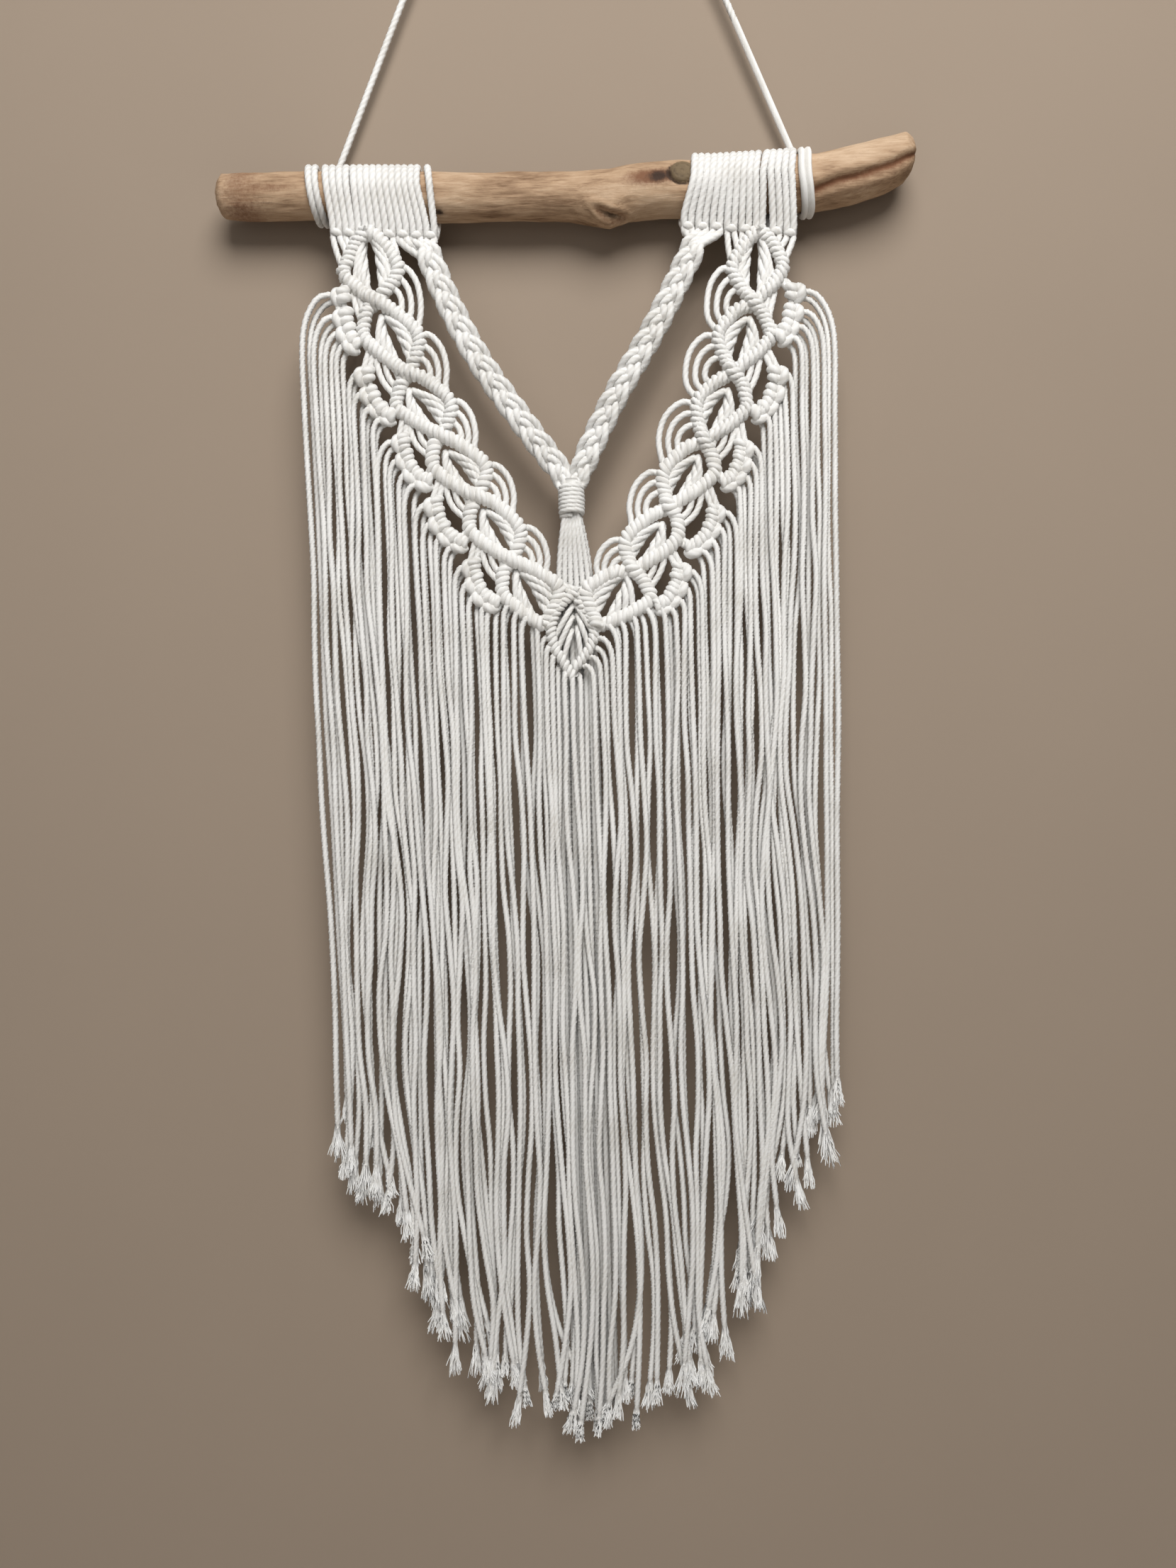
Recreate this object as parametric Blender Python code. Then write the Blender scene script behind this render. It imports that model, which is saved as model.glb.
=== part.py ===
"""A macrame wall hanging of cotton cord, knotted onto a driftwood stick.

Metres, +Z up, +X to the right seen from the front, and the front faces -Y. The origin is where the
hanging cord bears on its nail. Two knotted columns start from mounting loops on the stick and run down
and inwards to a centre leaf; two braids meet above it in a gathering wrap with a tassel; the ends of
all the cords make the fringe.
"""
import math
from collections import namedtuple

import bpy
from mathutils import Vector

for old in list(bpy.data.objects):
    bpy.data.objects.remove(old, do_unlink=True)

MM = 0.001
GAP = 0.35 * MM
UP = Vector((0.0, 0.0, 1.0))
FRONT = Vector((0.0, -1.0, 0.0))

# Cords
CORD_RADIUS = 2.0 * MM
STRAND_RADIUS = 1.75 * MM

# Stick: its axis is behind the cloth, which leaves the mounting loops at the stick's lower front
STICK_DEPTH = -9.0 * MM
STICK_SIDES = 8
SLEEVE_GAP = 0.45 * MM
TURN_HEIGHT = 3.8 * MM
TURN_VALLEY = 1.9 * MM
CLOTH_DEPTH = -18.0 * MM

# Mounting loops: the row of lark's heads under the stick's front, from start to end at height z
LARKS_HEADS = 8
LARKS_DEPTH = -15.5 * MM
LARKS_RADIUS = 4.1 * MM
LARKS_WAIST = 3.1 * MM
LarksRow = namedtuple("LarksRow", "start end z")
LEFT_LARKS = LarksRow(-137.9, -72.8, -371.6)
RIGHT_LARKS = LarksRow(66.0, 137.0, -371.4)

# Hanging cord: the feet of its legs beside the stick, their slope, and the bend over the nail
LEFT_FOOT = Vector((-0.1398, 0.0055, -0.3370))
RIGHT_FOOT = Vector((0.1362, 0.0, -0.3268))
LEG_RUN = 0.4
LEG_RISE = 1.0
NAIL_BEND = 4.5 * MM
NAIL_HALF = 1.0 * MM

# Knotted bars
BAR_RADIUS = 3.9 * MM
BAR_RIDGE = 0.45 * MM
BAR_STEP = 4.6 * MM
BAR_SIDES = 5
BAR_END = 0.7
CHAIN_RADIUS = 4.5 * MM
CHAIN_WAIST = 3.1 * MM
CHAIN_KNOTS = 4
DROP_ABOVE_TOP = 3.0

# Braids: a bulge to one side or the other at each step; the last step is drawn into the wrap
BRAID_STEP = 5.6 * MM
BRAID_HALF_WIDTH = 6.4 * MM
BRAID_HALF_DEPTH = 4.2 * MM
BRAID_SWAY = 1.1 * MM
BRAID_END = 0.55

# Fringe
FRINGE_RADIUS = 2.05 * MM
FRONT_LAYER = -20.6 * MM
BACK_LAYER = -14.8 * MM
STRIP_DEPTH = -10.6 * MM
STRIP_HALF = 3.2 * MM
STRIP_THICKNESS = 1.6 * MM
TIP_UNEVENNESS = 7.0 * MM

StickRow = namedtuple("StickRow", "x z radius")
STICK_ROWS = [
    StickRow(-205.5, -349.5, 9.5),
    StickRow(-203.0, -349.6, 12.4),
    StickRow(-190.0, -349.8, 13.5),
    StickRow(-155.0, -350.2, 13.6),
    StickRow(-71.0, -352.6, 14.2),
    StickRow(-41.0, -353.0, 13.6),
    StickRow(1.0, -353.8, 13.7),
    StickRow(14.0, -354.8, 15.0),
    StickRow(26.0, -355.5, 16.3),
    StickRow(37.0, -352.6, 15.8),
    StickRow(56.0, -351.2, 15.7),
    StickRow(68.0, -350.8, 16.0),
    StickRow(86.0, -350.8, 15.6),
    StickRow(148.0, -348.5, 16.1),
    StickRow(170.0, -344.6, 16.6),
    StickRow(191.0, -338.9, 15.8),
    StickRow(201.0, -334.9, 14.6),
    StickRow(205.5, -333.4, 10.5),
]

# One row for each leaf of a column, top to bottom: its top, its outer and inner corners, the crossing
# under it, how far the loose cords swing out beside that crossing, and the ends of its square-knot chain.
Leaf = namedtuple("Leaf", "top outer inner crossing swing chain_top chain_end")
LEFT_COLUMN = [
    Leaf((-117.5, -380), (-131.3, -399), (-99.0, -396), (-113.0, -415), 26.5, (-133.5, -406), (-124.0, -442)),
    Leaf((-109.0, -423), (-120.4, -436), (-88.3, -435), (-95.0, -458), 23.0, (-120.0, -454), (-102.7, -485)),
    Leaf((-94.0, -467), (-101.7, -478), (-70.4, -475), (-75.8, -495), 20.0, (-100.0, -494), (-81.8, -523)),
    Leaf((-73.1, -504), (-80.8, -514), (-50.3, -513), (-56.1, -531), 22.0, (-81.2, -532), (-61.7, -560)),
    Leaf((-51.7, -539), (-60.3, -551), (-31.1, -550), (-36.1, -569), 21.0, (-59.9, -569), (-44.6, -595)),
    Leaf((-32.9, -575), (-41.5, -589), (-11.5, -587), (-19.8, -605), 0.0, None, None),
]
RIGHT_COLUMN = [
    Leaf((112.4, -384.5), (126.7, -400), (96.7, -400), (110.4, -419), 27.0, (133.1, -410), (124.1, -443)),
    Leaf((106.0, -429), (118.7, -440), (87.9, -439), (97.5, -461), 27.0, (122.1, -459), (107.3, -488)),
    Leaf((92.3, -471), (103.7, -482), (75.0, -478), (80.8, -500), 26.0, (101.2, -503), (89.0, -527)),
    Leaf((73.9, -510), (84.1, -520), (54.2, -519), (57.5, -538), 23.0, (84.6, -540), (65.7, -565)),
    Leaf((51.9, -549), (61.2, -558), (30.8, -558), (34.6, -575), 21.0, (63.0, -574), (48.3, -599)),
    Leaf((30.8, -578), (45.0, -593), (12.6, -588), (21.5, -606), 0.0, None, None),
]
LEAF_LEFT = [(-2.5, -597.0), (-11.0, -606.0), (-13.6, -616.0), (-10.5, -627.5), (-3.2, -638.0)]
LEAF_RIGHT = [(3.5, -597.5), (9.6, -606.0), (12.4, -616.0), (9.5, -627.0), (-1.5, -637.0)]

# Fringe: where the strands of each chain start to fall, outermost first, and how many each gives
Fall = namedtuple("Fall", "x strands")
LEFT_FALLS = [Fall(-156.0, 8), Fall(-130.0, 6), Fall(-112.5, 6), Fall(-92.0, 6), Fall(-71.0, 6),
              Fall(-48.0, 7)]
RIGHT_FALLS = [Fall(156.0, 8), Fall(130.0, 6), Fall(112.5, 6), Fall(95.0, 6), Fall(75.0, 6),
               Fall(51.0, 7)]
FRINGE_INNER = 15.5
Tip = namedtuple("Tip", "x z")
TIPS = [
    Tip(-150.0, -900.0), Tip(-128.0, -925.0), Tip(-111.0, -993.0), Tip(-82.0, -1033.0),
    Tip(-61.0, -1060.0), Tip(-34.0, -1068.0), Tip(2.0, -1083.0), Tip(35.0, -1078.0),
    Tip(65.0, -1062.0), Tip(84.0, -1041.0), Tip(93.0, -1008.0), Tip(110.0, -990.0),
    Tip(118.0, -948.0), Tip(150.0, -905.0),
]


def material(name, colour, roughness):
    made = bpy.data.materials.new(name)
    made.use_nodes = True
    shader = made.node_tree.nodes["Principled BSDF"]
    shader.inputs["Base Color"].default_value = (*colour, 1.0)
    shader.inputs["Roughness"].default_value = roughness
    return made


COTTON = material("cotton cord", (0.80, 0.78, 0.72), 0.95)
WOOD = material("driftwood", (0.50, 0.34, 0.21), 0.75)


def place(x, depth, z):
    """A point from a table's millimetres across and up, and a depth in metres."""
    return Vector((x * MM, depth, z * MM))


def along(table, x):
    """The table's row values at x, straight between its rows."""
    for low, high in zip(table, table[1:]):
        if x <= high[0]:
            break
    share = min(max((x - low[0]) / (high[0] - low[0]), 0.0), 1.0)
    return [a + (b - a) * share for a, b in zip(low, high)]


def smooth(points, step):
    """Points about one step apart on the smooth curve through the given ones."""
    out = []
    ends = [points[0] * 2 - points[1], *points, points[-1] * 2 - points[-2]]
    for before, a, b, after in zip(ends, ends[1:], ends[2:], ends[3:]):
        count = max(round((b - a).length / step), 1)
        for i in range(count):
            t = i / count
            out.append(
                0.5 * (2 * a + (b - before) * t + (2 * before - 5 * a + 4 * b - after) * t * t
                       + (3 * a - before - 3 * b + after) * t * t * t)
            )
    out.append(points[-1].copy())
    return out


def mesh_object(name, rings, surface, closed_ends=True):
    """A closed body from rings of points, joined in order, with a flat cap on each end."""
    sides = len(rings[0])
    corners = [tuple(point) for ring in rings for point in ring]
    faces = []
    for i in range(len(rings) - 1):
        for j in range(sides):
            k = (j + 1) % sides
            faces.append((i * sides + j, i * sides + k, (i + 1) * sides + k, (i + 1) * sides + j))
    if closed_ends:
        faces.append(tuple(reversed(range(sides))))
        faces.append(tuple((len(rings) - 1) * sides + j for j in range(sides)))
    else:
        last = (len(rings) - 1) * sides
        for j in range(sides):
            k = (j + 1) % sides
            faces.append((last + j, last + k, k, j))
    mesh = bpy.data.meshes.new(name)
    mesh.from_pydata(corners, [], faces)
    mesh.validate()
    mesh.materials.append(surface)
    made = bpy.data.objects.new(name, mesh)
    bpy.context.scene.collection.objects.link(made)
    return made


def tube(name, points, radii, sides, surface=COTTON, turn=0.0):
    """A closed tube along the points, with one radius for each, its corners turned from the front."""
    rings = []
    away = points[1] - points[0]
    front = UP if abs(away.y) > 0.5 * away.length else FRONT
    for i, point in enumerate(points):
        ahead = points[min(i + 1, len(points) - 1)] - points[max(i - 1, 0)]
        ahead.normalize()
        front = (front - ahead * front.dot(ahead)).normalized()
        across = ahead.cross(front)
        ring = []
        for j in range(sides):
            angle = turn + 2 * math.pi * j / sides
            ring.append(point + radii[i] * (math.cos(angle) * front + math.sin(angle) * across))
        rings.append(ring)
    return mesh_object(name, rings, surface)


def fuse(name, pieces):
    """One body from pieces that overlap each other: a Boolean union of the first with the others."""
    first = pieces[0]
    first.name = name
    rest = bpy.data.collections.new(name + " strands")
    for piece in pieces[1:]:
        bpy.context.scene.collection.objects.unlink(piece)
        rest.objects.link(piece)
        piece.hide_render = True
        piece.display_type = "WIRE"
    bpy.context.scene.collection.children.link(rest)
    union = first.modifiers.new("fused knots", "BOOLEAN")
    union.operation = "UNION"
    union.solver = "EXACT"
    union.operand_type = "COLLECTION"
    union.collection = rest
    return first


# Stick


def stick_ring(x, extra=0.0, lean=0.0):
    """The corners of the stick's section at x, grown by extra; lean slants it from top to bottom."""
    _, z, radius = along(STICK_ROWS, x)
    ring = []
    for j in range(STICK_SIDES):
        angle = 2 * math.pi * (j + 0.5) / STICK_SIDES
        up = math.cos(angle)
        reach = radius * MM + extra
        ring.append(Vector((x * MM - lean * up, STICK_DEPTH - reach * math.sin(angle), z * MM + reach * up)))
    return ring


def build_stick():
    rings = [stick_ring(row.x) for row in STICK_ROWS]
    mesh_object("driftwood_stick", rings, WOOD)


# Mounting loops and the hanging cord's turns, as ridged sleeves round the stick


def build_sleeve(name, start, end, turns, lean):
    """Cord turns side by side: a ridge for each turn outside, the stick's own form inside.

    lean slants the first and the last turn from top to bottom, and the others follow.
    """
    outside = []
    for i in range(2 * turns + 1):
        share = i / (2 * turns)
        height = TURN_HEIGHT if i % 2 else TURN_VALLEY
        slant = lean[0] + (lean[1] - lean[0]) * share
        outside.append(stick_ring(start + (end - start) * share, SLEEVE_GAP + height, slant))
    inside = [
        stick_ring(end, SLEEVE_GAP, lean[1]),
        stick_ring((start + end) / 2, SLEEVE_GAP, (lean[0] + lean[1]) / 2),
        stick_ring(start, SLEEVE_GAP, lean[0]),
    ]
    return mesh_object(name, outside + inside, COTTON, closed_ends=False)


def build_mounting_loops(name, start, end, lean, bar):
    """The loops of the mounting cords, and the row of lark's heads that their ends come out of."""
    sleeve = build_sleeve(name, start, end, 16, lean)
    points = [place(bar.start + (bar.end - bar.start) * i / (2 * LARKS_HEADS), LARKS_DEPTH, bar.z)
              for i in range(2 * LARKS_HEADS + 1)]
    radii = [(LARKS_RADIUS if i % 2 else LARKS_WAIST) for i in range(2 * LARKS_HEADS + 1)]
    fuse(name, [sleeve, tube(f"{name} lark's heads", points, radii, 6)])


def leg_route(side, foot):
    """From the foot at the stick straight up to the nail, and half of the bend over it."""
    lean = math.atan2(LEG_RISE, LEG_RUN)
    route = [foot]
    for i in range(4):
        angle = math.pi / 2 + lean * (1 - i / 3)
        route.append(Vector((side * (NAIL_HALF - NAIL_BEND * math.cos(angle)), 0.0,
                             CORD_RADIUS - NAIL_BEND * (1 - math.sin(angle)))))
    route.append(Vector((side * GAP / 2, 0.0, CORD_RADIUS)))
    return route


def build_hanging_cord():
    """Two turns round each end of the stick, and a leg from each up to the nail."""
    build_sleeve("hanging_turns_left", -151.6, -143.2, 2, (1.2 * MM, 1.2 * MM))
    build_sleeve("hanging_turns_right", 138.8, 146.6, 2, (2.0 * MM, 2.0 * MM))
    for name, side, foot in (("hanging_cord_left", -1, LEFT_FOOT), ("hanging_cord_right", 1, RIGHT_FOOT)):
        route = leg_route(side, foot)
        tube(name, route, [CORD_RADIUS] * len(route), 8)


# Knotted columns


def ridged_bar(name, route, radius=BAR_RADIUS):
    points = smooth([place(x, depth, z) for x, depth, z in route], BAR_STEP)
    radii = [radius + (BAR_RIDGE if i % 2 else -BAR_RIDGE) for i in range(len(points))]
    radii[0] = radius * BAR_END
    radii[-1] = radius * BAR_END
    return tube(name, points, radii, BAR_SIDES)


def strand(name, points, steps=4, radius=STRAND_RADIUS, sides=3):
    """A single cord on the curve of three points: its start, the way it is pulled, and its end."""
    a, b, c = points
    route = []
    for i in range(steps + 1):
        t = i / steps
        route.append(a * (1 - t) ** 2 + b * 2 * t * (1 - t) + c * t * t)
    return tube(name, route, [radius] * len(route), sides)


def between(a, b, share):
    return (a[0] + (b[0] - a[0]) * share, a[1] + (b[1] - a[1]) * share)


def square_knot_chain(name, start, end):
    """A row of square knots: a bulge for each knot and a waist between."""
    steps = 2 * CHAIN_KNOTS
    points = [place(*between(start, end, i / steps)[:1], CLOTH_DEPTH, between(start, end, i / steps)[1])
              for i in range(steps + 1)]
    radii = [CHAIN_RADIUS if i % 2 else CHAIN_WAIST for i in range(steps + 1)]
    return tube(name, points, radii, BAR_SIDES)


def build_column(name, leaves, side):
    """Two bars that weave past each other through the corners of the leaves, and the cords round them."""
    over = [(leaves[0].top, 0.0)]
    under = [(leaves[0].top, 0.0)]
    for i, leaf in enumerate(leaves):
        on_left = leaf.outer if side < 0 else leaf.inner
        on_right = leaf.inner if side < 0 else leaf.outer
        swap = i % 2 == 0
        over += [(on_left if swap else on_right, 0.0), (leaf.crossing, -1.2)]
        under += [(on_right if swap else on_left, 0.0), (leaf.crossing, 1.2)]
    pieces = []
    for label, route in (("bar over", over), ("bar under", under)):
        pieces.append(ridged_bar(f"{name} {label}", [(p[0], CLOTH_DEPTH + d * MM, p[1]) for p, d in route]))
    head = leaves[0]
    for corner in (head.outer, head.inner):
        for share in (0.45, 0.95):
            foot = between(head.top, corner, share)
            pieces.append(tube(f"{name} drop", [place(foot[0], CLOTH_DEPTH, head.top[1] + DROP_ABOVE_TOP),
                                                place(foot[0], CLOTH_DEPTH, foot[1])],
                               [STRAND_RADIUS] * 2, 4))
    for i, leaf in enumerate(leaves):
        for corner in (leaf.outer, leaf.inner):
            for share in (0.35, 0.8):
                end = between(corner, leaf.crossing, share)
                pull = between(between(leaf.top, leaf.crossing, 0.5), corner, 0.62 - 0.25 * share)
                pieces.append(strand(f"{name} vein", [
                    place(leaf.top[0], CLOTH_DEPTH, leaf.top[1] - 3.0), place(pull[0], CLOTH_DEPTH, pull[1]),
                    place(end[0], CLOTH_DEPTH, end[1])], 2))
        if leaf.swing == 0.0:
            continue
        below = leaves[i + 1]
        for share, reach in ((0.15, 1.0), (0.42, 0.80), (0.68, 0.58)):
            start = between(leaf.inner, leaf.crossing, share)
            end = between(below.inner, leaf.crossing, share)
            middle = between(start, end, 0.5)
            peak = leaf.crossing[0] - side * leaf.swing * reach
            pull = (2 * peak - middle[0], middle[1])
            pieces.append(strand(f"{name} inner loop", [
                place(start[0], CLOTH_DEPTH, start[1]), place(pull[0], CLOTH_DEPTH, pull[1]),
                place(end[0], CLOTH_DEPTH, end[1])], 4))
        for share in (0.3, 0.6):
            start = between(leaf.outer, leaf.crossing, share)
            end = between(below.outer, leaf.crossing, share)
            pull = (leaf.crossing[0] + side * 19.0 * (1.25 - share), leaf.crossing[1] - 2.0)
            pieces.append(strand(f"{name} outer loop", [
                place(start[0], CLOTH_DEPTH, start[1]), place(pull[0], CLOTH_DEPTH, pull[1]),
                place(end[0], CLOTH_DEPTH, end[1])], 3))
        pieces.append(square_knot_chain(f"{name} chain", leaf.chain_top, leaf.chain_end))
        for tie, away in ((leaf.chain_top, leaf.outer), (leaf.chain_end, below.outer)):
            pieces.append(tube(f"{name} tie", [place(tie[0], CLOTH_DEPTH, tie[1]),
                                               place(away[0], CLOTH_DEPTH, away[1])],
                               [CHAIN_WAIST] * 2, 4))
    fuse(name, pieces)


def build_centre_leaf():
    pieces = [
        ridged_bar("centre bar left", [(x, CLOTH_DEPTH, z) for x, z in LEAF_LEFT], 3.5 * MM),
        ridged_bar("centre bar right", [(x, CLOTH_DEPTH, z) for x, z in LEAF_RIGHT], 3.5 * MM),
        tube("centre join", [place(-3.5, CLOTH_DEPTH, -596.5), place(4.5, CLOTH_DEPTH, -596.0)],
             [3.4 * MM] * 2, 6),
    ]
    for x, end in ((-1.0, (-9.0, -624.0)), (0.0, (-3.5, -632.0)), (1.5, (6.5, -629.0))):
        pieces.append(strand("centre vein", [
            place(x, CLOTH_DEPTH, -597.0), place(1.3 * x + end[0] * 0.4, CLOTH_DEPTH, -611.0),
            place(end[0], CLOTH_DEPTH, end[1])], 3))
    fuse("centre_leaf", pieces)


# Braids, gathering wrap and tassel


def build_braid(name, route):
    """A three-part braid: a flat body that bulges to one side and then the other at each crossing."""
    points = smooth([place(x, depth * MM, z) for x, depth, z in route], BRAID_STEP)
    rings = []
    for i, point in enumerate(points):
        ahead = (points[min(i + 1, len(points) - 1)] - points[max(i - 1, 0)]).normalized()
        across = ahead.cross(FRONT).normalized()
        drawn_in = BRAID_END if i == len(points) - 1 else 1.0
        sway = BRAID_SWAY * (1 if i % 2 else -1) * drawn_in
        ring = []
        for j in range(6):
            angle = 2 * math.pi * j / 6
            ring.append(point + across * (sway + BRAID_HALF_WIDTH * drawn_in * math.sin(angle))
                        + FRONT * BRAID_HALF_DEPTH * drawn_in * math.cos(angle))
        rings.append(ring)
    mesh_object(name, rings, COTTON)


def build_gathering_wrap():
    top, bottom, turns = -526.5, -548.0, 7
    points = [place(-0.3, -16.5 * MM, top + (bottom - top) * i / (2 * turns)) for i in range(2 * turns + 1)]
    radii = [(8.1 if i % 2 else 7.3) * MM for i in range(2 * turns + 1)]
    tube("gathering_wrap", points, radii, 8)


def build_tassel():
    """A short head under the gathering wrap, and cords that pass behind the centre leaf."""
    pieces = [tube("tassel head", [place(-0.2, -16.0 * MM, -548.9), place(-0.2, -15.5 * MM, -556.0)],
                   [6.2 * MM, 6.6 * MM], 8)]
    count = 8
    for i in range(count):
        across = (i - (count - 1) / 2) / (count / 2)
        depth = (-7.2 if i % 2 else -2.2)
        low = -1074.0 - TIP_UNEVENNESS / MM * math.sin(2.3 * i)
        route = [place(4.6 * across, (-15.6 if i % 2 else -14.2) * MM, -552.4),
                 place(8.0 * across + 0.3, (-14.5 if i % 2 else -11.0) * MM, -564.0),
                 place(10.5 * across + 0.8, (depth - 1.5) * MM, -582.0),
                 place(11.0 * across + 1.0, depth * MM, -610.0),
                 place(11.5 * across + 1.3, (depth - 2.0) * MM, -740.0),
                 place(12.5 * across + 2.0, (depth - 3.0) * MM, -900.0),
                 place(13.0 * across + 2.6, (depth - 3.0) * MM, low)]
        tube(f"tassel cord {i}", route, [FRINGE_RADIUS] * 6 + [FRINGE_RADIUS * 0.8], 3, turn=math.pi)
        pieces.append(bpy.data.objects[f"tassel cord {i}"])
    fuse("tassel", pieces)


# Fringe


def strip(name, edge):
    """A narrow backing strip behind the knots, along the edge that the fringe hangs from."""
    rings = []
    for i, (x, z) in enumerate(edge):
        ahead_x = edge[min(i + 1, len(edge) - 1)][0] - edge[max(i - 1, 0)][0]
        ahead_z = edge[min(i + 1, len(edge) - 1)][1] - edge[max(i - 1, 0)][1]
        length = math.hypot(ahead_x, ahead_z)
        across = Vector((-ahead_z / length, 0.0, ahead_x / length)) * STRIP_HALF
        back = Vector((0.0, STRIP_THICKNESS / 2, 0.0))
        point = place(x, STRIP_DEPTH, z)
        rings.append([point + across - back, point - across - back, point - across + back, point + across + back])
    return mesh_object(name, rings, COTTON)


def on_edge(edge, share):
    """The point at this share of the edge's length."""
    lengths = [math.hypot(b[0] - a[0], b[1] - a[1]) for a, b in zip(edge, edge[1:])]
    left = share * sum(lengths)
    for (a, b), length in zip(zip(edge, edge[1:]), lengths):
        if left <= length:
            break
        left -= length
    return between(a, b, min(left / length, 1.0))


def tip_height(x):
    return along(TIPS, x)[1]


def fringe_strand(name, index, root, fall_x, arch):
    """One cord: out of the strip, over a shoulder, then hanging to its own length."""
    layer = FRONT_LAYER if index % 2 else BACK_LAYER
    low_x = fall_x * 0.937 + 2.0 + 1.2 * math.sin(5.1 * index)
    low_z = tip_height(low_x) + TIP_UNEVENNESS / MM * math.sin(2.7 * index)
    turn_z = root[1] - 15.0 - 0.55 * abs(fall_x - root[0])
    wave = 0.9 * math.sin(1.9 * index)
    route = [
        place(root[0], STRIP_DEPTH + 0.3 * MM, root[1]),
        place(root[0] + (fall_x - root[0]) * 0.45, STRIP_DEPTH + (layer - STRIP_DEPTH) * 0.5,
              root[1] - 2.5 + arch),
        place(root[0] + (fall_x - root[0]) * 0.9, STRIP_DEPTH + (layer - STRIP_DEPTH) * 0.9,
              root[1] - 8.0 + arch),
        place(fall_x, layer, turn_z),
    ]
    for share in (0.5, 1.0):
        x = fall_x + (low_x - fall_x) * share + wave * math.sin(math.pi * share)
        route.append(place(x, layer, turn_z + (low_z - turn_z) * share))
    radii = [FRINGE_RADIUS] * (len(route) - 1) + [FRINGE_RADIUS * 0.8]
    return tube(name, route, radii, 3, turn=math.pi if index % 2 else 0.0)


def build_fringe(name, leaves, falls, side):
    """The strands of one column's knots, from the outer edge to the centre."""
    edge = []
    for leaf in leaves[:-1]:
        edge += [(leaf.chain_top[0] + side * 4.5, leaf.chain_top[1] - 4.0),
                 (leaf.chain_end[0] + side * 4.0, leaf.chain_end[1] - 5.0)]
    last = leaves[-1]
    edge += [(last.outer[0] + side * 1.0, last.outer[1] - 13.0),
             (last.crossing[0] - side * 1.0, last.crossing[1] - 5.0)]
    pieces = [strip(f"{name} strip", edge)]
    starts = [0.0]
    for a, b in zip(edge, edge[1:]):
        starts.append(starts[-1] + math.hypot(b[0] - a[0], b[1] - a[1]))
    total = starts[-1]
    index = 0
    bounds = falls + [Fall(side * FRINGE_INNER, 0)]
    for group, (here, after) in enumerate(zip(bounds, bounds[1:])):
        low = starts[2 * group] / total
        high = starts[min(2 * group + 1, len(starts) - 1)] / total
        for i in range(here.strands):
            share = (i + 0.5) / here.strands
            root = on_edge(edge, low + (high - low) * share)
            fall_x = here.x + (after.x - here.x) * (i / here.strands)
            arch = 5.0 * max(0.0, 1.0 - group * 0.8) + 1.0
            pieces.append(fringe_strand(f"{name} cord {index}", index, root, fall_x, arch))
            index += 1
    fuse(name, pieces)


def build_centre_fringe():
    """The few strands under the centre leaf."""
    edge = [(-11.0, -641.0), (-4.0, -645.0), (2.0, -645.0), (10.0, -641.0)]
    pieces = [strip("fringe_centre strip", edge)]
    count = 6
    for i in range(count):
        share = i / (count - 1)
        root = on_edge(edge, 0.06 + 0.88 * share)
        pieces.append(fringe_strand(f"centre cord {i}", i, root, -12.5 + 25.0 * share, 1.0))
    fuse("fringe_centre", pieces)


build_stick()
build_mounting_loops("mounting_loops_left", -138.6, -74.8, (2.3 * MM, 1.9 * MM), LEFT_LARKS)
build_mounting_loops("mounting_loops_right", 72.4, 135.4, (-3.6 * MM, 0.8 * MM), RIGHT_LARKS)
build_hanging_cord()
build_column("knotted_column_left", LEFT_COLUMN, -1)
build_column("knotted_column_right", RIGHT_COLUMN, 1)
build_centre_leaf()
build_braid("braid_left",
            [(-82.5, -18, -380.5), (-63.2, -19, -429.6), (-38.7, -18, -474.7), (-4.9, -16.5, -524.1)])
build_braid("braid_right",
            [(77.5, -18, -382.5), (51.1, -19, -445.4), (20.0, -18, -500.0), (4.9, -16.5, -524.6)])
build_gathering_wrap()
build_tassel()
build_fringe("fringe_left", LEFT_COLUMN, LEFT_FALLS, -1)
build_fringe("fringe_right", RIGHT_COLUMN, RIGHT_FALLS, 1)
build_centre_fringe()
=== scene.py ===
import math
import random
from collections import namedtuple

import bmesh
import bpy
import numpy as np
from mathutils import Matrix, Quaternion, Vector, noise


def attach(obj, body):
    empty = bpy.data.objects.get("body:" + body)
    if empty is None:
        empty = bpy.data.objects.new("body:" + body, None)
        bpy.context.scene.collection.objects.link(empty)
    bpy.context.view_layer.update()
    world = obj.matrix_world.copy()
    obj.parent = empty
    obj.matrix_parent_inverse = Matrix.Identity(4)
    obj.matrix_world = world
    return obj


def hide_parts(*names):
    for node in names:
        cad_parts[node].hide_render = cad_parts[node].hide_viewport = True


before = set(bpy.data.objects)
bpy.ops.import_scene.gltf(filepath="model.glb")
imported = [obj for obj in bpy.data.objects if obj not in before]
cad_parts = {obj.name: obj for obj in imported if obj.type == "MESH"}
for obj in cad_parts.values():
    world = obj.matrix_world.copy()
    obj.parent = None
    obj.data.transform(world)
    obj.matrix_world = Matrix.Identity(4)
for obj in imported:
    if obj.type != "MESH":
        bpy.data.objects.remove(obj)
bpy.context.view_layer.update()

# ---------------------------------------------------------------------------------------------------
# Hanging cord. One length of three-ply cotton cord: two turns round each end of the stick, and a leg
# from each up to the nail that it hangs on. It is cut from the same cord as the rest of the piece.
# ---------------------------------------------------------------------------------------------------

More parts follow.
